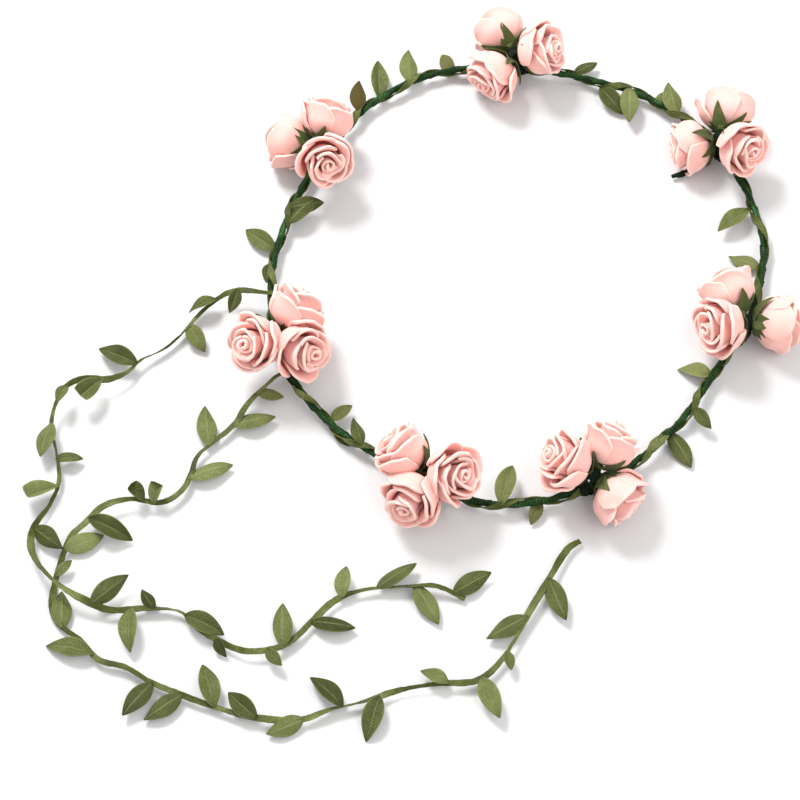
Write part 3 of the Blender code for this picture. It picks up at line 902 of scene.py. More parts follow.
@functools.cache
def wire_finish():
    """Drawn steel with fine lengthwise scratches."""
    steel = Finish("drawn_steel", Metallic=1.0)
    scratches = steel.noise(1400.0, 4.0, 0.7)
    colour = steel.mix((0.32, 0.33, 0.33), (0.55, 0.56, 0.57), scratches)
    scored = steel.bump(scratches, 0.00003, 0.5)
    return steel.set(Base_Color=colour, Roughness=scratches * 0.25 + 0.25, Normal=scored)


# ---------------------------------------------------------------- settings
def length_property(name, description, default):
    return FloatProperty(
        name=name, description=description, default=default, min=0.0, unit="LENGTH", precision=5
    )


def colour_property(name, description, default):
    return FloatVectorProperty(
        name=name, description=description, default=default, subtype="COLOR", size=3, min=0.0, max=1.0
    )


class CrownRoseSettings(bpy.types.PropertyGroup):
    """Sizes and colours of the foam roses and their calyxes."""

    foam_thickness: length_property("Foam thickness", "Thickness of the sheet foam of a petal", 0.00115)
    wobble: length_property("Wobble", "How far a petal strays from its pattern", 0.0013)
    coil_turns: FloatProperty(
        name="Coil turns", description="Turns of the coiled middle", default=1.7, min=1.0
    )
    petal_colour: colour_property("Petal", "Colour of the open foam", (0.86, 0.485, 0.435))
    # Painted shade: the coral laid deep between the petals.
    fold_painted_shade: colour_property("Folds", "Colour deep between the petals", (0.80, 0.23, 0.165))
    # Painted highlight: the pale colour laid on the petal rims.
    rim_painted_highlight: colour_property("Rims", "Colour of the cut rims", (0.92, 0.66, 0.60))
    sepal_length: length_property("Sepal length", "Stem to the tip of a sepal", 0.0114)
    sepal_width: length_property("Sepal width", "Widest part of a sepal", 0.0076)


class CrownRibbonSettings(bpy.types.PropertyGroup):
    """Sizes and colours of the leafy ribbon."""

    width: length_property("Width", "Width of the ribbon", 0.0028)
    thickness: length_property("Thickness", "Thickness of the folded ribbon", 0.0006)
    orbit: length_property("Orbit", "Middle of the ribbon from the middle of the wire", 0.0019)
    leaf_length: length_property("Leaf length", "Length of a full leaf", 0.016)
    leaf_width: length_property("Leaf width", "Width of a full leaf", 0.0074)
    leaf_thickness: length_property("Leaf thickness", "Thickness of the cloth of a leaf", 0.0003)
    leaf_colour: colour_property("Leaf", "Colour of the satin", (0.078, 0.096, 0.017))
    leaf_dark: colour_property("Leaf shade", "Colour of the darkest leaves", (0.016, 0.022, 0.002))
    leaf_light: colour_property("Leaf light", "Colour of the palest cloth", (0.29, 0.32, 0.13))


class CrownTapeSettings(bpy.types.PropertyGroup):
    """Sizes and colours of the wound tape."""

    radius: length_property("Radius", "Radius of the wound hoop", 0.00112)
    pitch: length_property("Pitch", "Distance along the hoop from one turn of tape to the next", 0.0065)
    step: length_property("Step", "Height of the edge of one turn over the next", 0.00030)
    tape_colour: colour_property("Tape", "Colour of the tape", (0.008, 0.044, 0.004))
    # Painted shade: the near-black laid in the tape's creases.
    tape_dark: colour_property("Tape shade", "Colour of the tape in its creases", (0.002, 0.010, 0.001))
    # Painted highlight: the bright green where light would catch the tape.
    tape_light: colour_property("Tape light", "Colour of the rubbed tape", (0.030, 0.140, 0.018))


class CrownStageSettings(bpy.types.PropertyGroup):
    """The camera and the light."""

    camera_height: FloatProperty(
        name="Camera height", description="Angle above the level", default=math.radians(62), subtype="ANGLE"
    )
    camera_distance: length_property("Camera distance", "Camera to the point that it looks at", 0.85)
    lens: FloatProperty(name="Lens", description="Focal length in millimetres", default=105.0, min=1.0)
    key_power: FloatProperty(
        name="Key light", description="Power of the main light", default=15.0, unit="POWER"
    )
    fill_power: FloatProperty(
        name="Fill light", description="Power of the fill light", default=4.0, unit="POWER"
    )
    room: FloatProperty(
        name="Room", description="Strength of the light of the room", default=0.9, min=0.0
    )


SETTINGS = {
    "crown_roses": CrownRoseSettings,
    "crown_ribbon": CrownRibbonSettings,
    "crown_tape": CrownTapeSettings,
    "crown_stage": CrownStageSettings,
}


# ---------------------------------------------------------------- stage
class CROWN_OT_stage(bpy.types.Operator):
    """Adds the camera, the lights and a pale floor"""

    bl_idname = "crown.stage"
    bl_label = "Stage"

    AIM = Vector((-0.0425, -0.053, 0.0))
    LAMPS = (  # name, place, breadth, and the setting of its power
        ("key_light", (-0.45, 0.55, 0.95), 0.42, "key_power"),
        ("fill_light", (0.55, -0.35, 0.8), 0.9, "fill_power"),
    )
    FLOOR = 3.0

    def lamp(self, name, place, size, power):
        light = bpy.data.lights.new(name, "AREA")
        light.shape = "DISK"
        light.size = size
        light.energy = power
        obj = bpy.data.objects.new(name, light)
        obj.location = place
        obj.rotation_euler = (-Vector(place)).to_track_quat("-Z", "Y").to_euler()
        bpy.context.scene.collection.objects.link(obj)

    def execute(self, context):
        look = context.scene.crown_stage
        camera = bpy.data.cameras.new("camera")
        camera.lens = look.lens
        eye = bpy.data.objects.new("camera", camera)
        back = Vector((0, -math.cos(look.camera_height), math.sin(look.camera_height)))
        eye.location = self.AIM + back * look.camera_distance
        eye.rotation_euler = (-back).to_track_quat("-Z", "Y").to_euler()
        context.scene.collection.objects.link(eye)
        context.scene.camera = eye
        context.scene.view_settings.view_transform = "Standard"

        for name, place, size, power in self.LAMPS:
            self.lamp(name, place, size, getattr(look, power))
        world = bpy.data.worlds.new("room")
        world.use_nodes = True
        background = world.node_tree.nodes["Background"]
        background.inputs["Color"].default_value = (1.0, 1.0, 1.0, 1.0)
        background.inputs["Strength"].default_value = look.room
        context.scene.world = world

        bm = bmesh.new()
        bmesh.ops.create_grid(bm, x_segments=1, y_segments=1, size=self.FLOOR)
        mesh = bpy.data.meshes.new("floor")
        bm.to_mesh(mesh)
        bm.free()
        board = Finish("pale_board", Roughness=0.9, Specular_IOR_Level=0.1)
        grain = board.noise(40.0, 2.0)
        white = board.mix((0.64, 0.64, 0.64), (0.66, 0.66, 0.66), grain)
        floor = mesh_object("floor", mesh, board.set(Base_Color=white))
        return {"FINISHED"}


# ---------------------------------------------------------------- ribbon and leaves
def ribbon_recipe():
    """Sweeps a shallow arch of cloth along a line."""
    recipe = Recipe(
        "Swept ribbon",
        Width="float",
        Thickness="float",
        Arch="float",
        Crumple="float",
        Seed="float",
        Material="material",
    )

    def outline(ring):
        spot = recipe.node("ShaderNodeSeparateXYZ", None, {0: recipe.wire("GeometryNodeInputPosition")})
        x, y = Wire(recipe, spot.outputs[0]), Wire(recipe, spot.outputs[1])
        arch = (1.0 - x * x) * recipe.given("Arch")
        half = recipe.given("Width") * 0.5, recipe.given("Thickness") * 0.5
        flat = recipe.vector(x * half[0], y * half[1] + arch, 0.0)
        return recipe.wire("GeometryNodeSetPosition", None, {"Geometry": ring, "Position": flat})

    cloth = recipe.swept(0.0006, outline, recipe.wire("GeometryNodeInputRadius"), sides=14)
    rough = recipe.noise_offset(cloth, 420.0, recipe.given("Crumple"), recipe.given("Seed"))
    return recipe.close(rough, recipe.given("Material"))


MIDRIB_DEPTH = 0.00028
LEAF_BULGE = 0.0008
BEND_FROM = 0.6  # where along a folded leaf its tip turns back


def leaf_shape(t):
    """Half the breadth of a leaf at t along it, 1 at its widest."""
    return max(0.03, math.sin(math.pi * min(1.0, t**0.88)) ** 0.8)


def leaf_pattern(name, width, length, thickness, droop, fold, wave, twist, bend):
    """A leaf along +X, facing +Z. It droops, folds about its midrib, waves, twists and may bend double."""
    columns = (-1.0, -0.72, -0.42, -0.14, 0.0, 0.14, 0.42, 0.72, 1.0)
    rows = [k / 13 for k in range(14)]

    def point(u, t):
        half = width / 2 * leaf_shape(t)
        y, z = u * half, fold * abs(u) * half * 1.6
        z += wave * width * math.sin(7.5 * t + 1.5 * u) * abs(u) ** 1.5 * 0.5
        z -= MIDRIB_DEPTH * math.exp(-((u * 5) ** 2)) * math.sin(math.pi * min(1.0, t + 0.08))
        turn = twist * t
        y, z = y * math.cos(turn) - z * math.sin(turn), y * math.sin(turn) + z * math.cos(turn)
        curl = droop * t
        x = length * (math.sin(curl) / droop if abs(droop) > 1e-4 else t)
        rise = -length * ((1 - math.cos(curl)) / droop if abs(droop) > 1e-4 else 0.0)
        if bend and t > BEND_FROM:
            back = (t - BEND_FROM) * length * bend
            x, rise = x - back, rise + back * 0.75
        rise += z * math.cos(curl) + LEAF_BULGE * math.sin(math.pi * t)
        return Vector((x + z * math.sin(curl), y, rise))

    mesh = sheet_mesh(name, columns, rows, point, lambda u, t: {"along": t, "across": u})
    return thickened(name, mesh, thickness)


def leaf_patterns():
    look = bpy.context.scene.crown_ribbon
    kinds = (  # droop, fold, wave, twist, bend
        (0.35, 0.16, 0.05, 0.1, 0.0),
        (0.15, -0.14, 0.06, -0.25, 0.0),
        (0.5, 0.22, 0.09, 0.3, 0.0),
        (-0.15, 0.18, 0.08, -0.1, 0.0),
        (0.25, -0.22, 0.1, 0.35, 0.0),
        (0.45, 0.08, 0.12, -0.35, 0.0),
        (0.1, 0.35, 0.10, 0.2, 0.9),
    )
    sizes = (look.leaf_width, look.leaf_length, look.leaf_thickness)
    patterns = [leaf_pattern(f"leaf_pattern_{k}", *sizes, *kind) for k, kind in enumerate(kinds)]
    return pattern_collection("leaf patterns", patterns)


def leaf_recipe():
    """Sets a leaf pattern at each point, turned and sized as the point says."""
    recipe = Recipe("Leaves", Patterns="collection", Seed="int", Material="material")
    kind, turn, size = (
        recipe.named(*fact) for fact in (("kind", "INT"), ("turn", "FLOAT_VECTOR"), ("size", "FLOAT_VECTOR"))
    )
    leaves = recipe.scatter(recipe.given("Geometry"), "Patterns", kind, turn, size)
    # A random tone for each leaf, partly standing in for painted light and shade.
    leaves = recipe.store(leaves, "leaf_tint", recipe.random(0.0, 1.0, recipe.given("Seed")), "INSTANCE")
    return recipe.close(leaves, recipe.given("Material"))


def leaf_points(name, leaves):
    """Points that carry where and how each leaf grows: its place, length, kind and how brown it is."""
    places, lengths, kinds, browns = zip(*leaves)
    mesh = bpy.data.meshes.new(name)
    mesh.from_pydata([place.translation for place in places], [], [])
    full = bpy.context.scene.crown_ribbon.leaf_length
    facts = (
        ("turn", "FLOAT_VECTOR", [angle for place in places for angle in place.to_euler()]),
        ("size", "FLOAT_VECTOR", [scale for size in lengths for scale in leaf_scale(size / full)]),
        ("kind", "INT", kinds),
        ("leaf_brown", "FLOAT", browns),
    )
    for fact, form, values in facts:
        layer = mesh.attributes.new(fact, form, "POINT").data
        layer.foreach_set("vector" if form == "FLOAT_VECTOR" else "value", values)
    return mesh_object(name, mesh)


def leaf_scale(share):
    """A small leaf is a little broader for its length than a full one."""
    return share, min(1.0, share * 1.1), share


def leaf_place(point, ahead, tilt, roll):
    """Places a leaf that starts at a point, points ahead, and tilts and rolls from the level."""
    side = UP.cross(ahead).normalized()
    level = side.cross(UP)
    x_axis = level * math.cos(math.radians(tilt)) + UP * math.sin(math.radians(tilt))
    place = placed(point, x_axis, side, x_axis.cross(side))
    return place @ Matrix.Rotation(math.radians(roll), 4, "X")


LEAST_CLEAR = -0.6  # at -1 a leaf would start on the far side of the wire and cross it


def ribbon_side(bearing):
    """Where the wound ribbon lies round the wire at a bearing: 0 outside, 90 on top."""
    return RIBBON_START + RIBBON_WRAPS * (bearing - RIBBON_SEAM)


def ribbon_away(bearing):
    """The direction from the wire to the wound ribbon at a bearing."""
    out, _, up = hoop_axes(bearing)
    side = math.radians(ribbon_side(bearing))
    return out * math.cos(side) + up * math.sin(side)


def leaf_bearing(bearing, heading):
    """The bearing nearest the one wanted from which a leaf can set off without crossing the hoop."""
    shift = 0.0
    while True:
        for tried in (bearing + shift, bearing - shift):
            clear = math.cos(math.radians(heading)) * math.cos(math.radians(ribbon_side(tried)))
            if clear > LEAST_CLEAR:
                return tried
        shift += 0.5


class CROWN_OT_ribbon(bpy.types.Operator):
    """Winds the leafy ribbon round the hoop"""

    bl_idname = "crown.ribbon"
    bl_label = "Ribbon on the hoop"

    STEPS_PER_WRAP = 40
    START, SPAN = 1.5, 357.0  # degrees: the gap before the ribbon starts, and how far round it goes
    LOOSE = 0.22
    ARCH = 0.0002
    CRUMPLE = 0.0002

    def execute(self, context):
        look = context.scene.crown_ribbon
        count = RIBBON_WRAPS * self.STEPS_PER_WRAP
        points, tilts, radii = [], [], []
        for k in range(count + 1):
            bearing = RIBBON_SEAM + self.START + self.SPAN * k / count
            loose = 1 + self.LOOSE * noise.noise(Vector((bearing * 0.11, 3.0, 0.0)))
            points.append(hoop_point(bearing) + ribbon_away(bearing) * look.orbit * loose)
            tilts.append(math.pi / 2 - math.radians(ribbon_side(bearing)))
            radii.append(0.95 + 0.25 * noise.noise(Vector((bearing * 0.09, 0.0, 5.0))))
        line = curve_object("ribbon_line", points, tilts, radii)
        ribbon = run_recipe(
            line,
            ribbon_recipe(),
            "wound_ribbon",
            Width=look.width,
            Thickness=look.thickness,
            Arch=self.ARCH,
            Crumple=self.CRUMPLE,
            Seed=1.0,
            Material=ribbon_finish(),
        )
        keep(ribbon, "hoop", "leaf_ribbon", "hoop_garland")
        return {"FINISHED"}


class CROWN_OT_hoop_leaves(bpy.types.Operator):
    """Sets the leaves along the hoop"""

    bl_idname = "crown.hoop_leaves"
    bl_label = "Leaves on the hoop"

    BROWN = {130: 0.9, 101: 0.6, 274: 0.4}  # bearing of a browned leaf, and how brown
    ROLL = 24

    def execute(self, context):
        draw = random.Random(11)
        leaves = []
        for wanted, length, heading, tilt in HOOP_LEAVES:
            bearing = leaf_bearing(wanted, heading)
            turn = math.radians(heading)
            out, along, _ = hoop_axes(bearing)
            away = ribbon_away(bearing)
            root = hoop_point(bearing) + away * context.scene.crown_ribbon.orbit
            ahead = out * math.cos(turn) + along * math.sin(turn)
            lift = tilt if away.z > -0.2 else 0
            place = leaf_place(root, ahead, lift, draw.uniform(-self.ROLL, self.ROLL))
            leaves.append((place, length, draw.randrange(LEAF_KINDS), self.BROWN.get(wanted, 0.0)))
        patterns = leaf_patterns()
        leafy = run_recipe(
            leaf_points("leaf_points", leaves),
            leaf_recipe(),
            "hoop_leaves",
            Patterns=patterns,
            Seed=3,
            Material=leaf_finish(),
        )
        clear_patterns(patterns)
        keep(leafy, "hoop", "leaf_ribbon")
        return {"FINISHED"}


class CROWN_OT_tails(bpy.types.Operator):
    """Lays the two trailing ends of the ribbon, with their leaves"""

    bl_idname = "crown.tails"
    bl_label = "Trailing ends"

    STEP = 0.002
    LEAD = 0.0075  # from the start of the ribbon to its way off the hoop
    OVER_HOOP = ((-0.0016, 0.0019), (0.0016, 0.0027))  # out and up of the ribbon's start, over the wire
    FOLDED = {"tail_upper": (0.071, 0.124), "tail_lower": (0.068, 0.072)}  # where its folded leaves grow
    ROLL = 26
    TUCK = 0.0006  # how far a leaf's foot starts inside the ribbon
    ARCH = 0.0003
    CRUMPLE = 0.00025

    @staticmethod
    def tilt(k, seed):
        """The ribbon's slow turning about its own line."""
        return 2.4 * noise.noise(Vector((k * 0.06, seed * 7.0, 0.0))) + 0.3 * math.sin(k * 0.31 + seed)

    @staticmethod
    def breadth(k, seed):
        """How wide the ribbon shows where it is folded or open."""
        return min(1.0, max(0.5, 0.78 + 0.6 * noise.noise(Vector((k * 0.11, 0.0, seed * 3.0)))))

    def execute(self, context):
        look = context.scene.crown_ribbon
        sweep, scatter, patterns = ribbon_recipe(), leaf_recipe(), leaf_patterns()
        for seed, (name, ((bearing, out), steps, leaves)) in enumerate(TAILS.items(), start=2):
            draw = random.Random(seed)
            start = hoop_point(bearing, out)
            start.z = steps[0][2]
            over = [hoop_point(bearing, *across) for across in self.OVER_HOOP]
            route = smooth([*over, *((start.x + x, start.y + y, z) for x, y, z in steps)], self.STEP)
            length = sum((b - a).length for a, b in zip(route, route[1:]))
            tilts = [self.tilt(k, seed) for k in range(len(route))]
            radii = [self.breadth(k, seed) for k in range(len(route))]
            ribbon = run_recipe(
                curve_object(name + "_line", route, tilts, radii),
                sweep,
                name + "_ribbon",
                Width=look.width,
                Thickness=look.thickness,
                Arch=self.ARCH,
                Crumple=self.CRUMPLE,
                Seed=float(seed),
                Material=ribbon_finish(),
            )
            keep(ribbon, "hoop", "leaf_ribbon", name)
            places = []
            for distance, size, turn, tilt in leaves:
                place = (distance + self.LEAD) / length * (len(route) - 1)
                i = min(int(place), len(route) - 2)
                root = route[i].lerp(route[i + 1], place - i)
                ahead = Matrix.Rotation(math.radians(turn), 3, "Z") @ (route[i + 1] - route[i]).normalized()
                root -= ahead * self.TUCK
                kind = LEAF_KINDS if distance in self.FOLDED[name] else draw.randrange(LEAF_KINDS)
                leaf = leaf_place(root, ahead, tilt, draw.uniform(-self.ROLL, self.ROLL))
                places.append((leaf, size, kind, 0.0))
            leafy = run_recipe(
                leaf_points(name + "_points", places),
                scatter,
                name + "_leaves",
                Patterns=patterns,
                Seed=seed,
                Material=leaf_finish(),
            )
            keep(leafy, "hoop", "leaf_ribbon")
        clear_patterns(patterns)
        return {"FINISHED"}


# ---------------------------------------------------------------- hoop
def tape_recipe():
    """Wraps a line in tape: a tube whose skin steps up at each turn and twists like a cord."""
    recipe = Recipe(
        "Wound tape", Radius="float", Pitch="float", Step="float", Seed="float", Material="material"
    )
    tube = recipe.swept(0.0004, lambda ring: ring, recipe.given("Radius"), sides=22)
    turns = recipe.named("along") / recipe.given("Pitch") + recipe.named("around")
    edge = turns.math("FRACT")
    step = edge * edge * recipe.given("Step")
    oval = ((recipe.named("around") * 2.0 + turns * 0.6) * math.tau).math("SINE") * 0.00010
    offset = recipe.vector_math("SCALE", recipe.wire("GeometryNodeInputNormal"), step + oval)
    wound = recipe.wire("GeometryNodeSetPosition", None, {"Geometry": tube, "Offset": offset})
    rough = recipe.noise_offset(wound, 330.0, 0.00022, recipe.given("Seed"))
    return recipe.close(rough, recipe.given("Material"))


class CROWN_OT_hoop(bpy.types.Operator):
    """Finishes the wire and winds it with tape"""

    bl_idname = "crown.hoop"
    bl_label = "Taped hoop"

    START, SPAN = 1.1, 357.8  # degrees: the gap before the tape starts, and how far round it goes
    STEPS = 240

    def execute(self, context):
        look = context.scene.crown_tape
        wire = NODES["hoop_wire"].data.materials
        wire.clear()
        wire.append(wire_finish())
        steps = range(self.STEPS + 1)
        points = [hoop_point(RIBBON_SEAM + self.START + self.SPAN * k / self.STEPS) for k in steps]
        tape = run_recipe(
            curve_object("tape_line", points),
            tape_recipe(),
            "wound_tape",
            Radius=look.radius,
            Pitch=look.pitch,
            Step=look.step,
            Seed=4.0,
            Material=tape_finish(),
        )
        keep(tape, "hoop", "floral_tape", "hoop_tape")
        return {"FINISHED"}


# ---------------------------------------------------------------- roses
SIDE_STEPS = 40  # even steps along a petal's side view


def side_point(side, share):
    """A point of a side view of (radius, height) at a share of its length."""
    line = [Vector((radius, height, 0.0)) for radius, height in side]
    points = smooth(line, 0.0005)
    place = share * (len(points) - 1)
    i = min(int(place), len(points) - 2)
    return points[i].lerp(points[i + 1], place - i)


def add_inside(pattern):
    """Keeps which skin of a petal faces the middle of the rose."""
    mesh = pattern.data
    values = []
    for vert in mesh.vertices:
        outwards = Vector((vert.co.x, vert.co.y, 0.0)).normalized()
        values.append(min(1.0, max(0.0, 0.5 - 1.2 * vert.normal.dot(outwards))))
    mesh.attributes.new("inside", "FLOAT", "POINT").data.foreach_set("value", values)
    return pattern


def petal_pattern(name, ring, draw, thickness):
    """A cupped petal with its middle over +X, its foot by the axis, one edge tucked in and its rim rolled."""
    (_, half_angle, tuck, roundness), side = PETAL_RINGS[ring]
    rim_roll = draw.uniform(0.0, 0.0014)
    point_up = draw.uniform(0.0, 0.05)
    waves = draw.uniform(0.0003, 0.0006)
    phase = draw.uniform(0.0, 6.0)
    span = math.radians(half_angle) * draw.uniform(0.94, 1.06)
    table = [side_point(side, k / SIDE_STEPS) for k in range(SIDE_STEPS + 1)]
    columns = [math.sin(k / 10 * math.pi / 2) for k in range(-10, 11)]
    rows = [1 - (1 - k / 11) ** 1.25 for k in range(12)]

    def height(u):
        return 1 - roundness * abs(u) ** 2.5 + point_up * (1 - abs(u)) ** 2

    def point(u, v):
        share = min(1.0, v * height(u)) * SIDE_STEPS
        i = min(int(share), SIDE_STEPS - 1)
        spot = table[i].lerp(table[i + 1], share - i)
        narrow = 0.5 + 0.5 * math.sin(math.pi / 2 * min(1.0, v / 0.45))
        angle = u * span * narrow
        radius = spot.x + tuck * u * min(1.0, v * 2)
        radius += rim_roll * max(0.0, (v - 0.78) / 0.22) ** 2
        radius += waves * math.sin(3.1 * u + phase) * v * v
        return Vector((radius * math.cos(angle), radius * math.sin(angle), spot.y))

    def facts(u, v):
        edge = min((1 - v) * 11.0, (1 - abs(u)) * 9.0 + (0.25 if v < 0.3 else 0.0))
        return {"rise": v * height(u), "rim": max(0.0, 1 - edge)}

    mesh = sheet_mesh(name, columns, rows, point, facts)
    return add_inside(thickened(name, mesh, thickness))


def coil_pattern(name, turns, draw, thickness):
    """The coiled strip at the middle of a rose."""
    count = round(turns * 20)
    columns = [k / count for k in range(count + 1)]
    rows = [0.0, 0.3, 0.6, 0.8, 0.92, 1.0]
    lean = draw.uniform(0.0003, 0.0009)

    def point(u, v):
        angle = math.tau * turns * u
        radius = 0.0006 + 0.0020 * u**0.85 + 0.0004 * v * u
        top = 0.0152 + lean * math.sin(angle * 0.5) + 0.0006 * math.sin(angle * 1.3)
        bottom = 0.004
        return Vector((radius * math.cos(angle), radius * math.sin(angle), bottom + (top - bottom) * v))

    def facts(u, v):
        return {"rise": v, "rim": max(0.0, 1 - (1 - v) * 10)}

    mesh = sheet_mesh(name, columns, rows, point, facts)
    return add_inside(thickened(name, mesh, thickness))


def rose_recipe():
    """Rings of petals round a coil, each petal picked, turned, tilted and sized at random."""
    recipe = Recipe(
        "Foam rose",
        Coil="collection",
        Inner="collection",
        Middle="collection",
        Outer="collection",
        Wobble="float",
        Seed="int",
        Material="material",
    )
    seed = recipe.given("Seed")
    joined = recipe.node("GeometryNodeJoinGeometry")
    leans = {"Coil": (-0.03, 0.03), "Inner": (-0.06, 0.05), "Middle": (-0.05, 0.09), "Outer": (-0.03, 0.15)}
    for number, (ring, lean) in enumerate(leans.items()):
        count = PETAL_RINGS[ring][0][0] if ring in PETAL_RINGS else 1
        points = recipe.wire("GeometryNodePoints", None, {"Count": count})
        index = recipe.wire("GeometryNodeInputIndex")
        start = seed * 47.0 + number * 97.0
        shift = recipe.random(-8.0, 8.0, seed + number * 17 + 1)
        angle = (index * (360.0 / count) + start + shift) * math.radians(1)
        tilt = recipe.random(*lean, seed + number * 17 + 2)
        tall = recipe.random(0.93, 1.04, seed + number * 17 + 3)
        pick = recipe.random(0, 7, seed + number * 17 + 4, "INT")
        rotation = recipe.vector(0.0, tilt, angle)
        petals = recipe.scatter(points, ring, pick, rotation, recipe.vector(1.0, 1.0, tall))
        shade = recipe.random(0.0, 1.0, seed + number * 17 + 5)
        petals = recipe.store(petals, "petal_shade", shade, "INSTANCE")
        recipe.tree.links.new(petals.socket, joined.inputs[0])
    rings = Wire(recipe, joined.outputs[0])
    whole = recipe.wire("GeometryNodeRealizeInstances", None, {"Geometry": rings})
    rise = recipe.named("rise")
    loose = recipe.noise_offset(whole, 125.0, recipe.given("Wobble"), seed * 0.37, rise * rise)
    return recipe.close(loose, recipe.given("Material"))


class CROWN_OT_roses(bpy.types.Operator):
    """Makes the foam roses"""

    bl_idname = "crown.roses"
    bl_label = "Roses"

    VARIANTS = 4
    COILS = 2
    LEAST, MOST = 0.95, 1.03  # how a rose's size varies, each way on its own

    def execute(self, context):
        look = context.scene.crown_roses
        foam = look.foam_thickness
        draw = random.Random(5)
        sets = {}
        for ring in PETAL_RINGS:
            petals = [petal_pattern(f"{ring}_{k}", ring, draw, foam) for k in range(self.VARIANTS)]
            sets[ring] = pattern_collection(ring, petals)
        coils = [coil_pattern(f"coil_{k}", look.coil_turns, draw, foam) for k in range(self.COILS)]
        sets["Coil"] = pattern_collection("Coil", coils)
        tree = rose_recipe()
        uneven = random.Random(21)
        for number, trio in enumerate(TRIOS):
            for k in ROSES:
                sizes = [uneven.uniform(self.LEAST, self.MOST) for _ in range(3)]
                rose = run_recipe(
                    empty_start(),
                    tree,
                    f"petals_{trio}_{k}",
                    place=pressed_place(trio, k) @ Matrix.Diagonal((*sizes, 1.0)),
                    Wobble=look.wobble,
                    Seed=number * 3 + k,
                    Material=foam_finish(),
                    **sets,
                )
                keep(rose, "trio_" + trio, "rose_foam", f"rose_{trio}_{k}")
        clear_patterns(*sets.values())
        return {"FINISHED"}


# ---------------------------------------------------------------- calyxes
def sepal_pattern(name, length, width, thickness, draw):
    """A pointed sepal over +X that follows the cup of the rose and may stand off at its tip."""
    columns = (-1.0, -0.6, -0.2, 0.0, 0.2, 0.6, 1.0)
    rows = [k / 9 for k in range(10)]
    lift = draw.uniform(0.0, 0.0012)
    skew = draw.uniform(-0.0006, 0.0006)
    table = smooth([(r, z, 0.0) for r, z in SEPAL_SIDE], 0.0004)
    reach = sum((b - a).length for a, b in zip(table, table[1:]))

    def point(u, t):
        half = width / 2 * min(1.0, 0.45 + 2.0 * t) * (1 - t) ** 0.8 + 0.00008
        place = min(0.999, t * length / reach) * (len(table) - 1)
        i = int(place)
        spot = table[i].lerp(table[i + 1], place - i)
        out, y = spot.x + lift * t**2.5, u * half + skew * t * t
        return Vector((out + 0.0003 * abs(u), y, spot.y - lift * 0.4 * t**2.5 - 0.15 * abs(u) * half))

    mesh = sheet_mesh(name, columns, rows, point, lambda u, t: {"along": t, "across": u})
    return thickened(name, mesh, thickness)


def calyx_recipe():
    """Five sepals round the stem, over a small round receptacle."""
    recipe = Recipe("Calyx", Patterns="collection", Count="int", Seed="int", Material="material")
    seed = recipe.given("Seed")
    points = recipe.wire("GeometryNodePoints", None, {"Count": recipe.given("Count")})
    index = recipe.wire("GeometryNodeInputIndex")
    angle = (index / recipe.given("Count") + seed * 0.137) * math.tau + recipe.random(-0.13, 0.13, seed)
    size = recipe.random(0.86, 1.06, seed + 1)
    pick = recipe.random(0, 4, seed + 2, "INT")
    rotation = recipe.vector(0.0, recipe.random(-0.10, 0.16, seed + 3), angle)
    scale = recipe.vector(size, recipe.random(0.85, 1.15, seed + 4), size)
    sepals = recipe.scatter(points, "Patterns", pick, rotation, scale)
    joined = recipe.node("GeometryNodeJoinGeometry")
    recipe.tree.links.new(sepals.socket, joined.inputs[0])
    recipe.tree.links.new(recipe.given("Geometry").socket, joined.inputs[0])
    return recipe.close(Wire(recipe, joined.outputs[0]), recipe.given("Material"))


def receptacle():
    """The small round foot that the sepals grow from."""
    rounds = 20
    bm = bmesh.new()
    rings = []
    for radius, height in RECEPTACLE_SIDE:
        turns = [math.tau * k / rounds for k in (range(rounds) if radius else range(1))]
        rings.append([bm.verts.new((radius * math.cos(t), radius * math.sin(t), height)) for t in turns])
    for low, high in zip(rings, rings[1:]):
        for k in range(rounds):
            spots = ((low, k), (low, k + 1), (high, k + 1), (high, k))
            bm.faces.new(list(dict.fromkeys(ring[i % len(ring)] for ring, i in spots)))
    bmesh.ops.recalc_face_normals(bm, faces=bm.faces)
    mesh = bpy.data.meshes.new("receptacle")
    bm.to_mesh(mesh)
    bm.free()
    return mesh_object("receptacle", mesh)


class CROWN_OT_calyxes(bpy.types.Operator):
    """Makes the paper calyx under each rose"""

    bl_idname = "crown.calyxes"
    bl_label = "Calyxes"

    SEPALS = 5
    VARIANTS = 5
    PAPER = 0.00028

    def execute(self, context):
        look = context.scene.crown_roses
        draw = random.Random(8)
        sizes = (look.sepal_length, look.sepal_width, self.PAPER)
        sepals = [sepal_pattern(f"sepal_{k}", *sizes, draw) for k in range(self.VARIANTS)]
        patterns = pattern_collection("sepal patterns", sepals)
        tree = calyx_recipe()
        for number, trio in enumerate(TRIOS):
            for k in ROSES:
                calyx = run_recipe(
                    receptacle(),
                    tree,
                    f"sepals_{trio}_{k}",
                    place=pressed_place(trio, k),
                    Patterns=patterns,
                    Count=self.SEPALS,
                    Seed=number * 3 + k,
                    Material=calyx_finish(),
                )
                keep(calyx, "trio_" + trio, "calyx_paper", f"calyx_{trio}_{k}")
        clear_patterns(patterns)
        return {"FINISHED"}


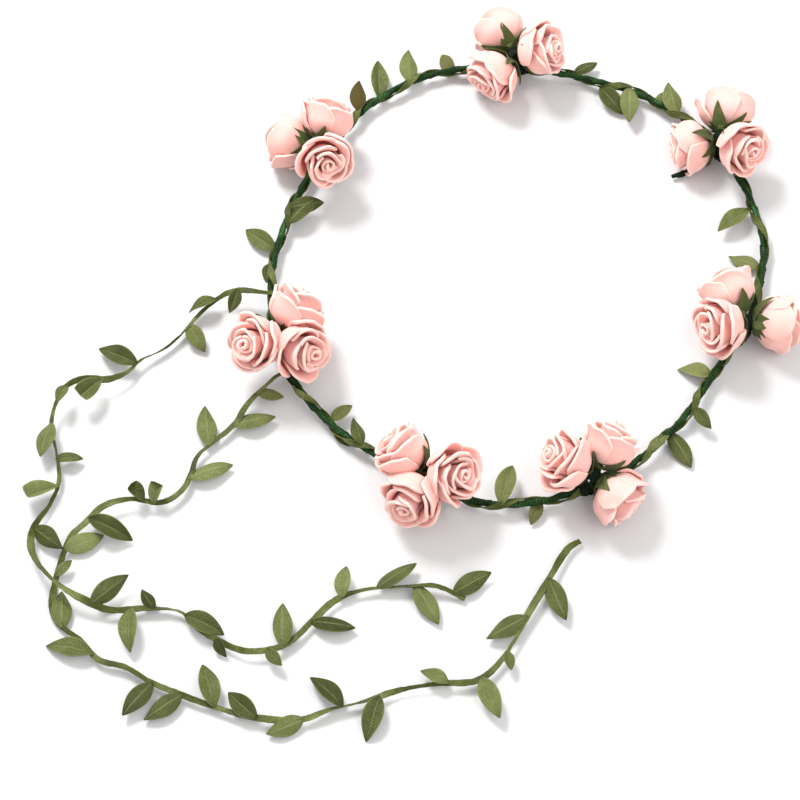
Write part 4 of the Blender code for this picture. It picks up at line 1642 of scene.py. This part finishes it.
# ---------------------------------------------------------------- bindings
def tube_rings(bm, points, radii, sides=14):
    """A closed tube through points, with a radius at each."""
    rings = []
    last = len(points) - 1
    for i, point in enumerate(points):
        along = (points[min(i + 1, last)] - points[max(i - 1, 0)]).normalized()
        x_axis = along.cross(UP if abs(along.z) < 0.9 else SIDEWAYS).normalized()
        y_axis = along.cross(x_axis)
        turns = [math.tau * k / sides for k in range(sides)]
        spokes = [x_axis * math.cos(t) + y_axis * math.sin(t) for t in turns]
        rings.append([bm.verts.new(point + spoke * radii[i]) for spoke in spokes])
    for low, high in zip(rings, rings[1:]):
        for k in range(sides):
            bm.faces.new((low[k], low[(k + 1) % sides], high[(k + 1) % sides], high[k]))
    bm.faces.new(rings[0][::-1])
    bm.faces.new(rings[-1])


class CROWN_OT_bindings(bpy.types.Operator):
    """Binds the three stems of each trio to the hoop with a wad of tape"""

    bl_idname = "crown.bindings"
    bl_label = "Bindings"

    VOXEL = 0.00032
    SLEEVE = (  # way along the hoop from its middle, and radius
        (-0.0062, 0.0017),
        (-0.0048, 0.0024),
        (-0.003, 0.0030),
        (0.0, 0.0034),
        (0.003, 0.0030),
        (0.0048, 0.0024),
        (0.0062, 0.0017),
    )
    TURN = 0.0021  # from one turn of tape to the next
    LOOSE_ENDS = {
        "back_right": ((0.0700, 0.0465, 0.0030), (0.0655, 0.0440, 0.0020), (0.0615, 0.0428, 0.0018)),
    }

    def binding(self, trio):
        hinge, knot, roses = trio_places(trio)
        bm = bmesh.new()
        bearing = math.degrees(math.atan2(hinge.translation.y, hinge.translation.x))
        degrees = math.degrees(1.0 / Vector(hinge.translation).xy.length)
        sleeve = [hoop_point(bearing + y * degrees) for y, _ in self.SLEEVE]
        tube_rings(bm, sleeve, [radius for _, radius in self.SLEEVE])
        low = hinge.translation + UP * 0.001
        tube_rings(bm, [low, low.lerp(knot, 0.5), knot, knot + UP * 0.0014], [0.0029, 0.0030, 0.0028, 0.0013])
        for place in roses:
            foot = place.translation
            axis = place.col[2].xyz
            points = [knot, knot.lerp(foot, 0.5), foot - axis * 0.0026, foot - axis * 0.0008]
            tube_rings(bm, points, [0.0024, 0.0016, 0.0013, 0.0017])
        if trio in self.LOOSE_ENDS:
            end = [knot, *(Vector(point) for point in self.LOOSE_ENDS[trio])]
            tube_rings(bm, end, [0.0014, 0.0012, 0.0011, 0.0008])
        mesh = bpy.data.meshes.new("binding")
        bm.to_mesh(mesh)
        bm.free()
        obj = mesh_object("binding", mesh)
        add_modifier(obj, "REMESH", mode="VOXEL", voxel_size=self.VOXEL)
        add_modifier(obj, "SMOOTH", iterations=3, factor=0.5)
        mesh = evaluated_mesh(obj)
        slant = (hinge.col[1].xyz * 0.75 + hinge.col[2].xyz * 0.5).normalized()
        for vert in mesh.vertices:
            lumps = noise.noise(vert.co * 420.0)
            turns = vert.co.dot(slant) / self.TURN + 0.8 * noise.noise(vert.co * 190.0)
            ridge = (turns % 1.0) ** 2 * 0.00034
            vert.co += vert.normal * (ridge - 0.0001 + lumps * 0.00022)
        mesh.shade_smooth()
        piece = mesh_object("binding_" + trio, mesh, binding_finish())
        keep(piece, "trio_" + trio, "floral_tape", "stems_" + trio)

    def execute(self, context):
        for trio in TRIOS:
            self.binding(trio)
        return {"FINISHED"}


class CROWN_OT_glue(bpy.types.Operator):
    """Adds the set drips of glue at some of the bindings"""

    bl_idname = "crown.glue"
    bl_label = "Glue"

    DRIPS = (  # trio, then each drip's way from the knot (out, along, up) and its size
        ("front_left", ((0.0050, 0.0020, -0.0030, 0.0006), (0.0040, -0.0035, -0.0035, 0.0005))),
        ("front_right", ((0.0016, -0.0028, 0.0002, 0.0004),)),
        ("back_left", ((0.0030, 0.0030, -0.0030, 0.0005),)),
    )

    def execute(self, context):
        for trio, drips in self.DRIPS:
            hinge, knot, _ = trio_places(trio)
            bm = bmesh.new()
            for out, along, up, size in drips:
                centre = knot + hinge.to_3x3() @ Vector((out, along, up))
                place = Matrix.Translation(centre)
                ball = bmesh.ops.create_icosphere(bm, subdivisions=3, radius=size, matrix=place)
                for vert in ball["verts"]:
                    away = vert.co - centre
                    away *= 1 + 0.35 * noise.noise(vert.co * 900.0)
                    away.z *= 0.7
                    vert.co = centre + away
            mesh = bpy.data.meshes.new("glue_" + trio)
            bm.to_mesh(mesh)
            bm.free()
            mesh.shade_smooth()
            piece = mesh_object("glue_" + trio, mesh, glue_finish())
            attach(piece, "trio_" + trio)
        return {"FINISHED"}


# ---------------------------------------------------------------- add-on
OPERATORS = (
    CROWN_OT_stage,
    CROWN_OT_tails,
    CROWN_OT_hoop,
    CROWN_OT_ribbon,
    CROWN_OT_hoop_leaves,
    CROWN_OT_bindings,
    CROWN_OT_calyxes,
    CROWN_OT_roses,
    CROWN_OT_glue,
)


class CROWN_PT_panel(bpy.types.Panel):
    """Lists the crown's settings and pieces"""

    bl_idname = "CROWN_PT_panel"
    bl_label = "Flower Crown"
    bl_space_type = "VIEW_3D"
    bl_region_type = "UI"
    bl_category = "Crown"

    def draw(self, context):
        for name, group in SETTINGS.items():
            box = self.layout.box()
            for prop in group.__annotations__:
                box.prop(getattr(context.scene, name), prop)
        for operator in OPERATORS:
            self.layout.operator(operator.bl_idname)


def register():
    for name, group in SETTINGS.items():
        bpy.utils.register_class(group)
        setattr(bpy.types.Scene, name, PointerProperty(type=group))
    for cls in (*OPERATORS, CROWN_PT_panel):
        bpy.utils.register_class(cls)


def unregister():
    for cls in (CROWN_PT_panel, *reversed(OPERATORS)):
        bpy.utils.unregister_class(cls)
    for name, group in SETTINGS.items():
        delattr(bpy.types.Scene, name)
        bpy.utils.unregister_class(group)


def main():
    register()
    for operator in OPERATORS:
        family, name = operator.bl_idname.split(".")
        getattr(getattr(bpy.ops, family), name)()


if __name__ == "__main__":
    main()
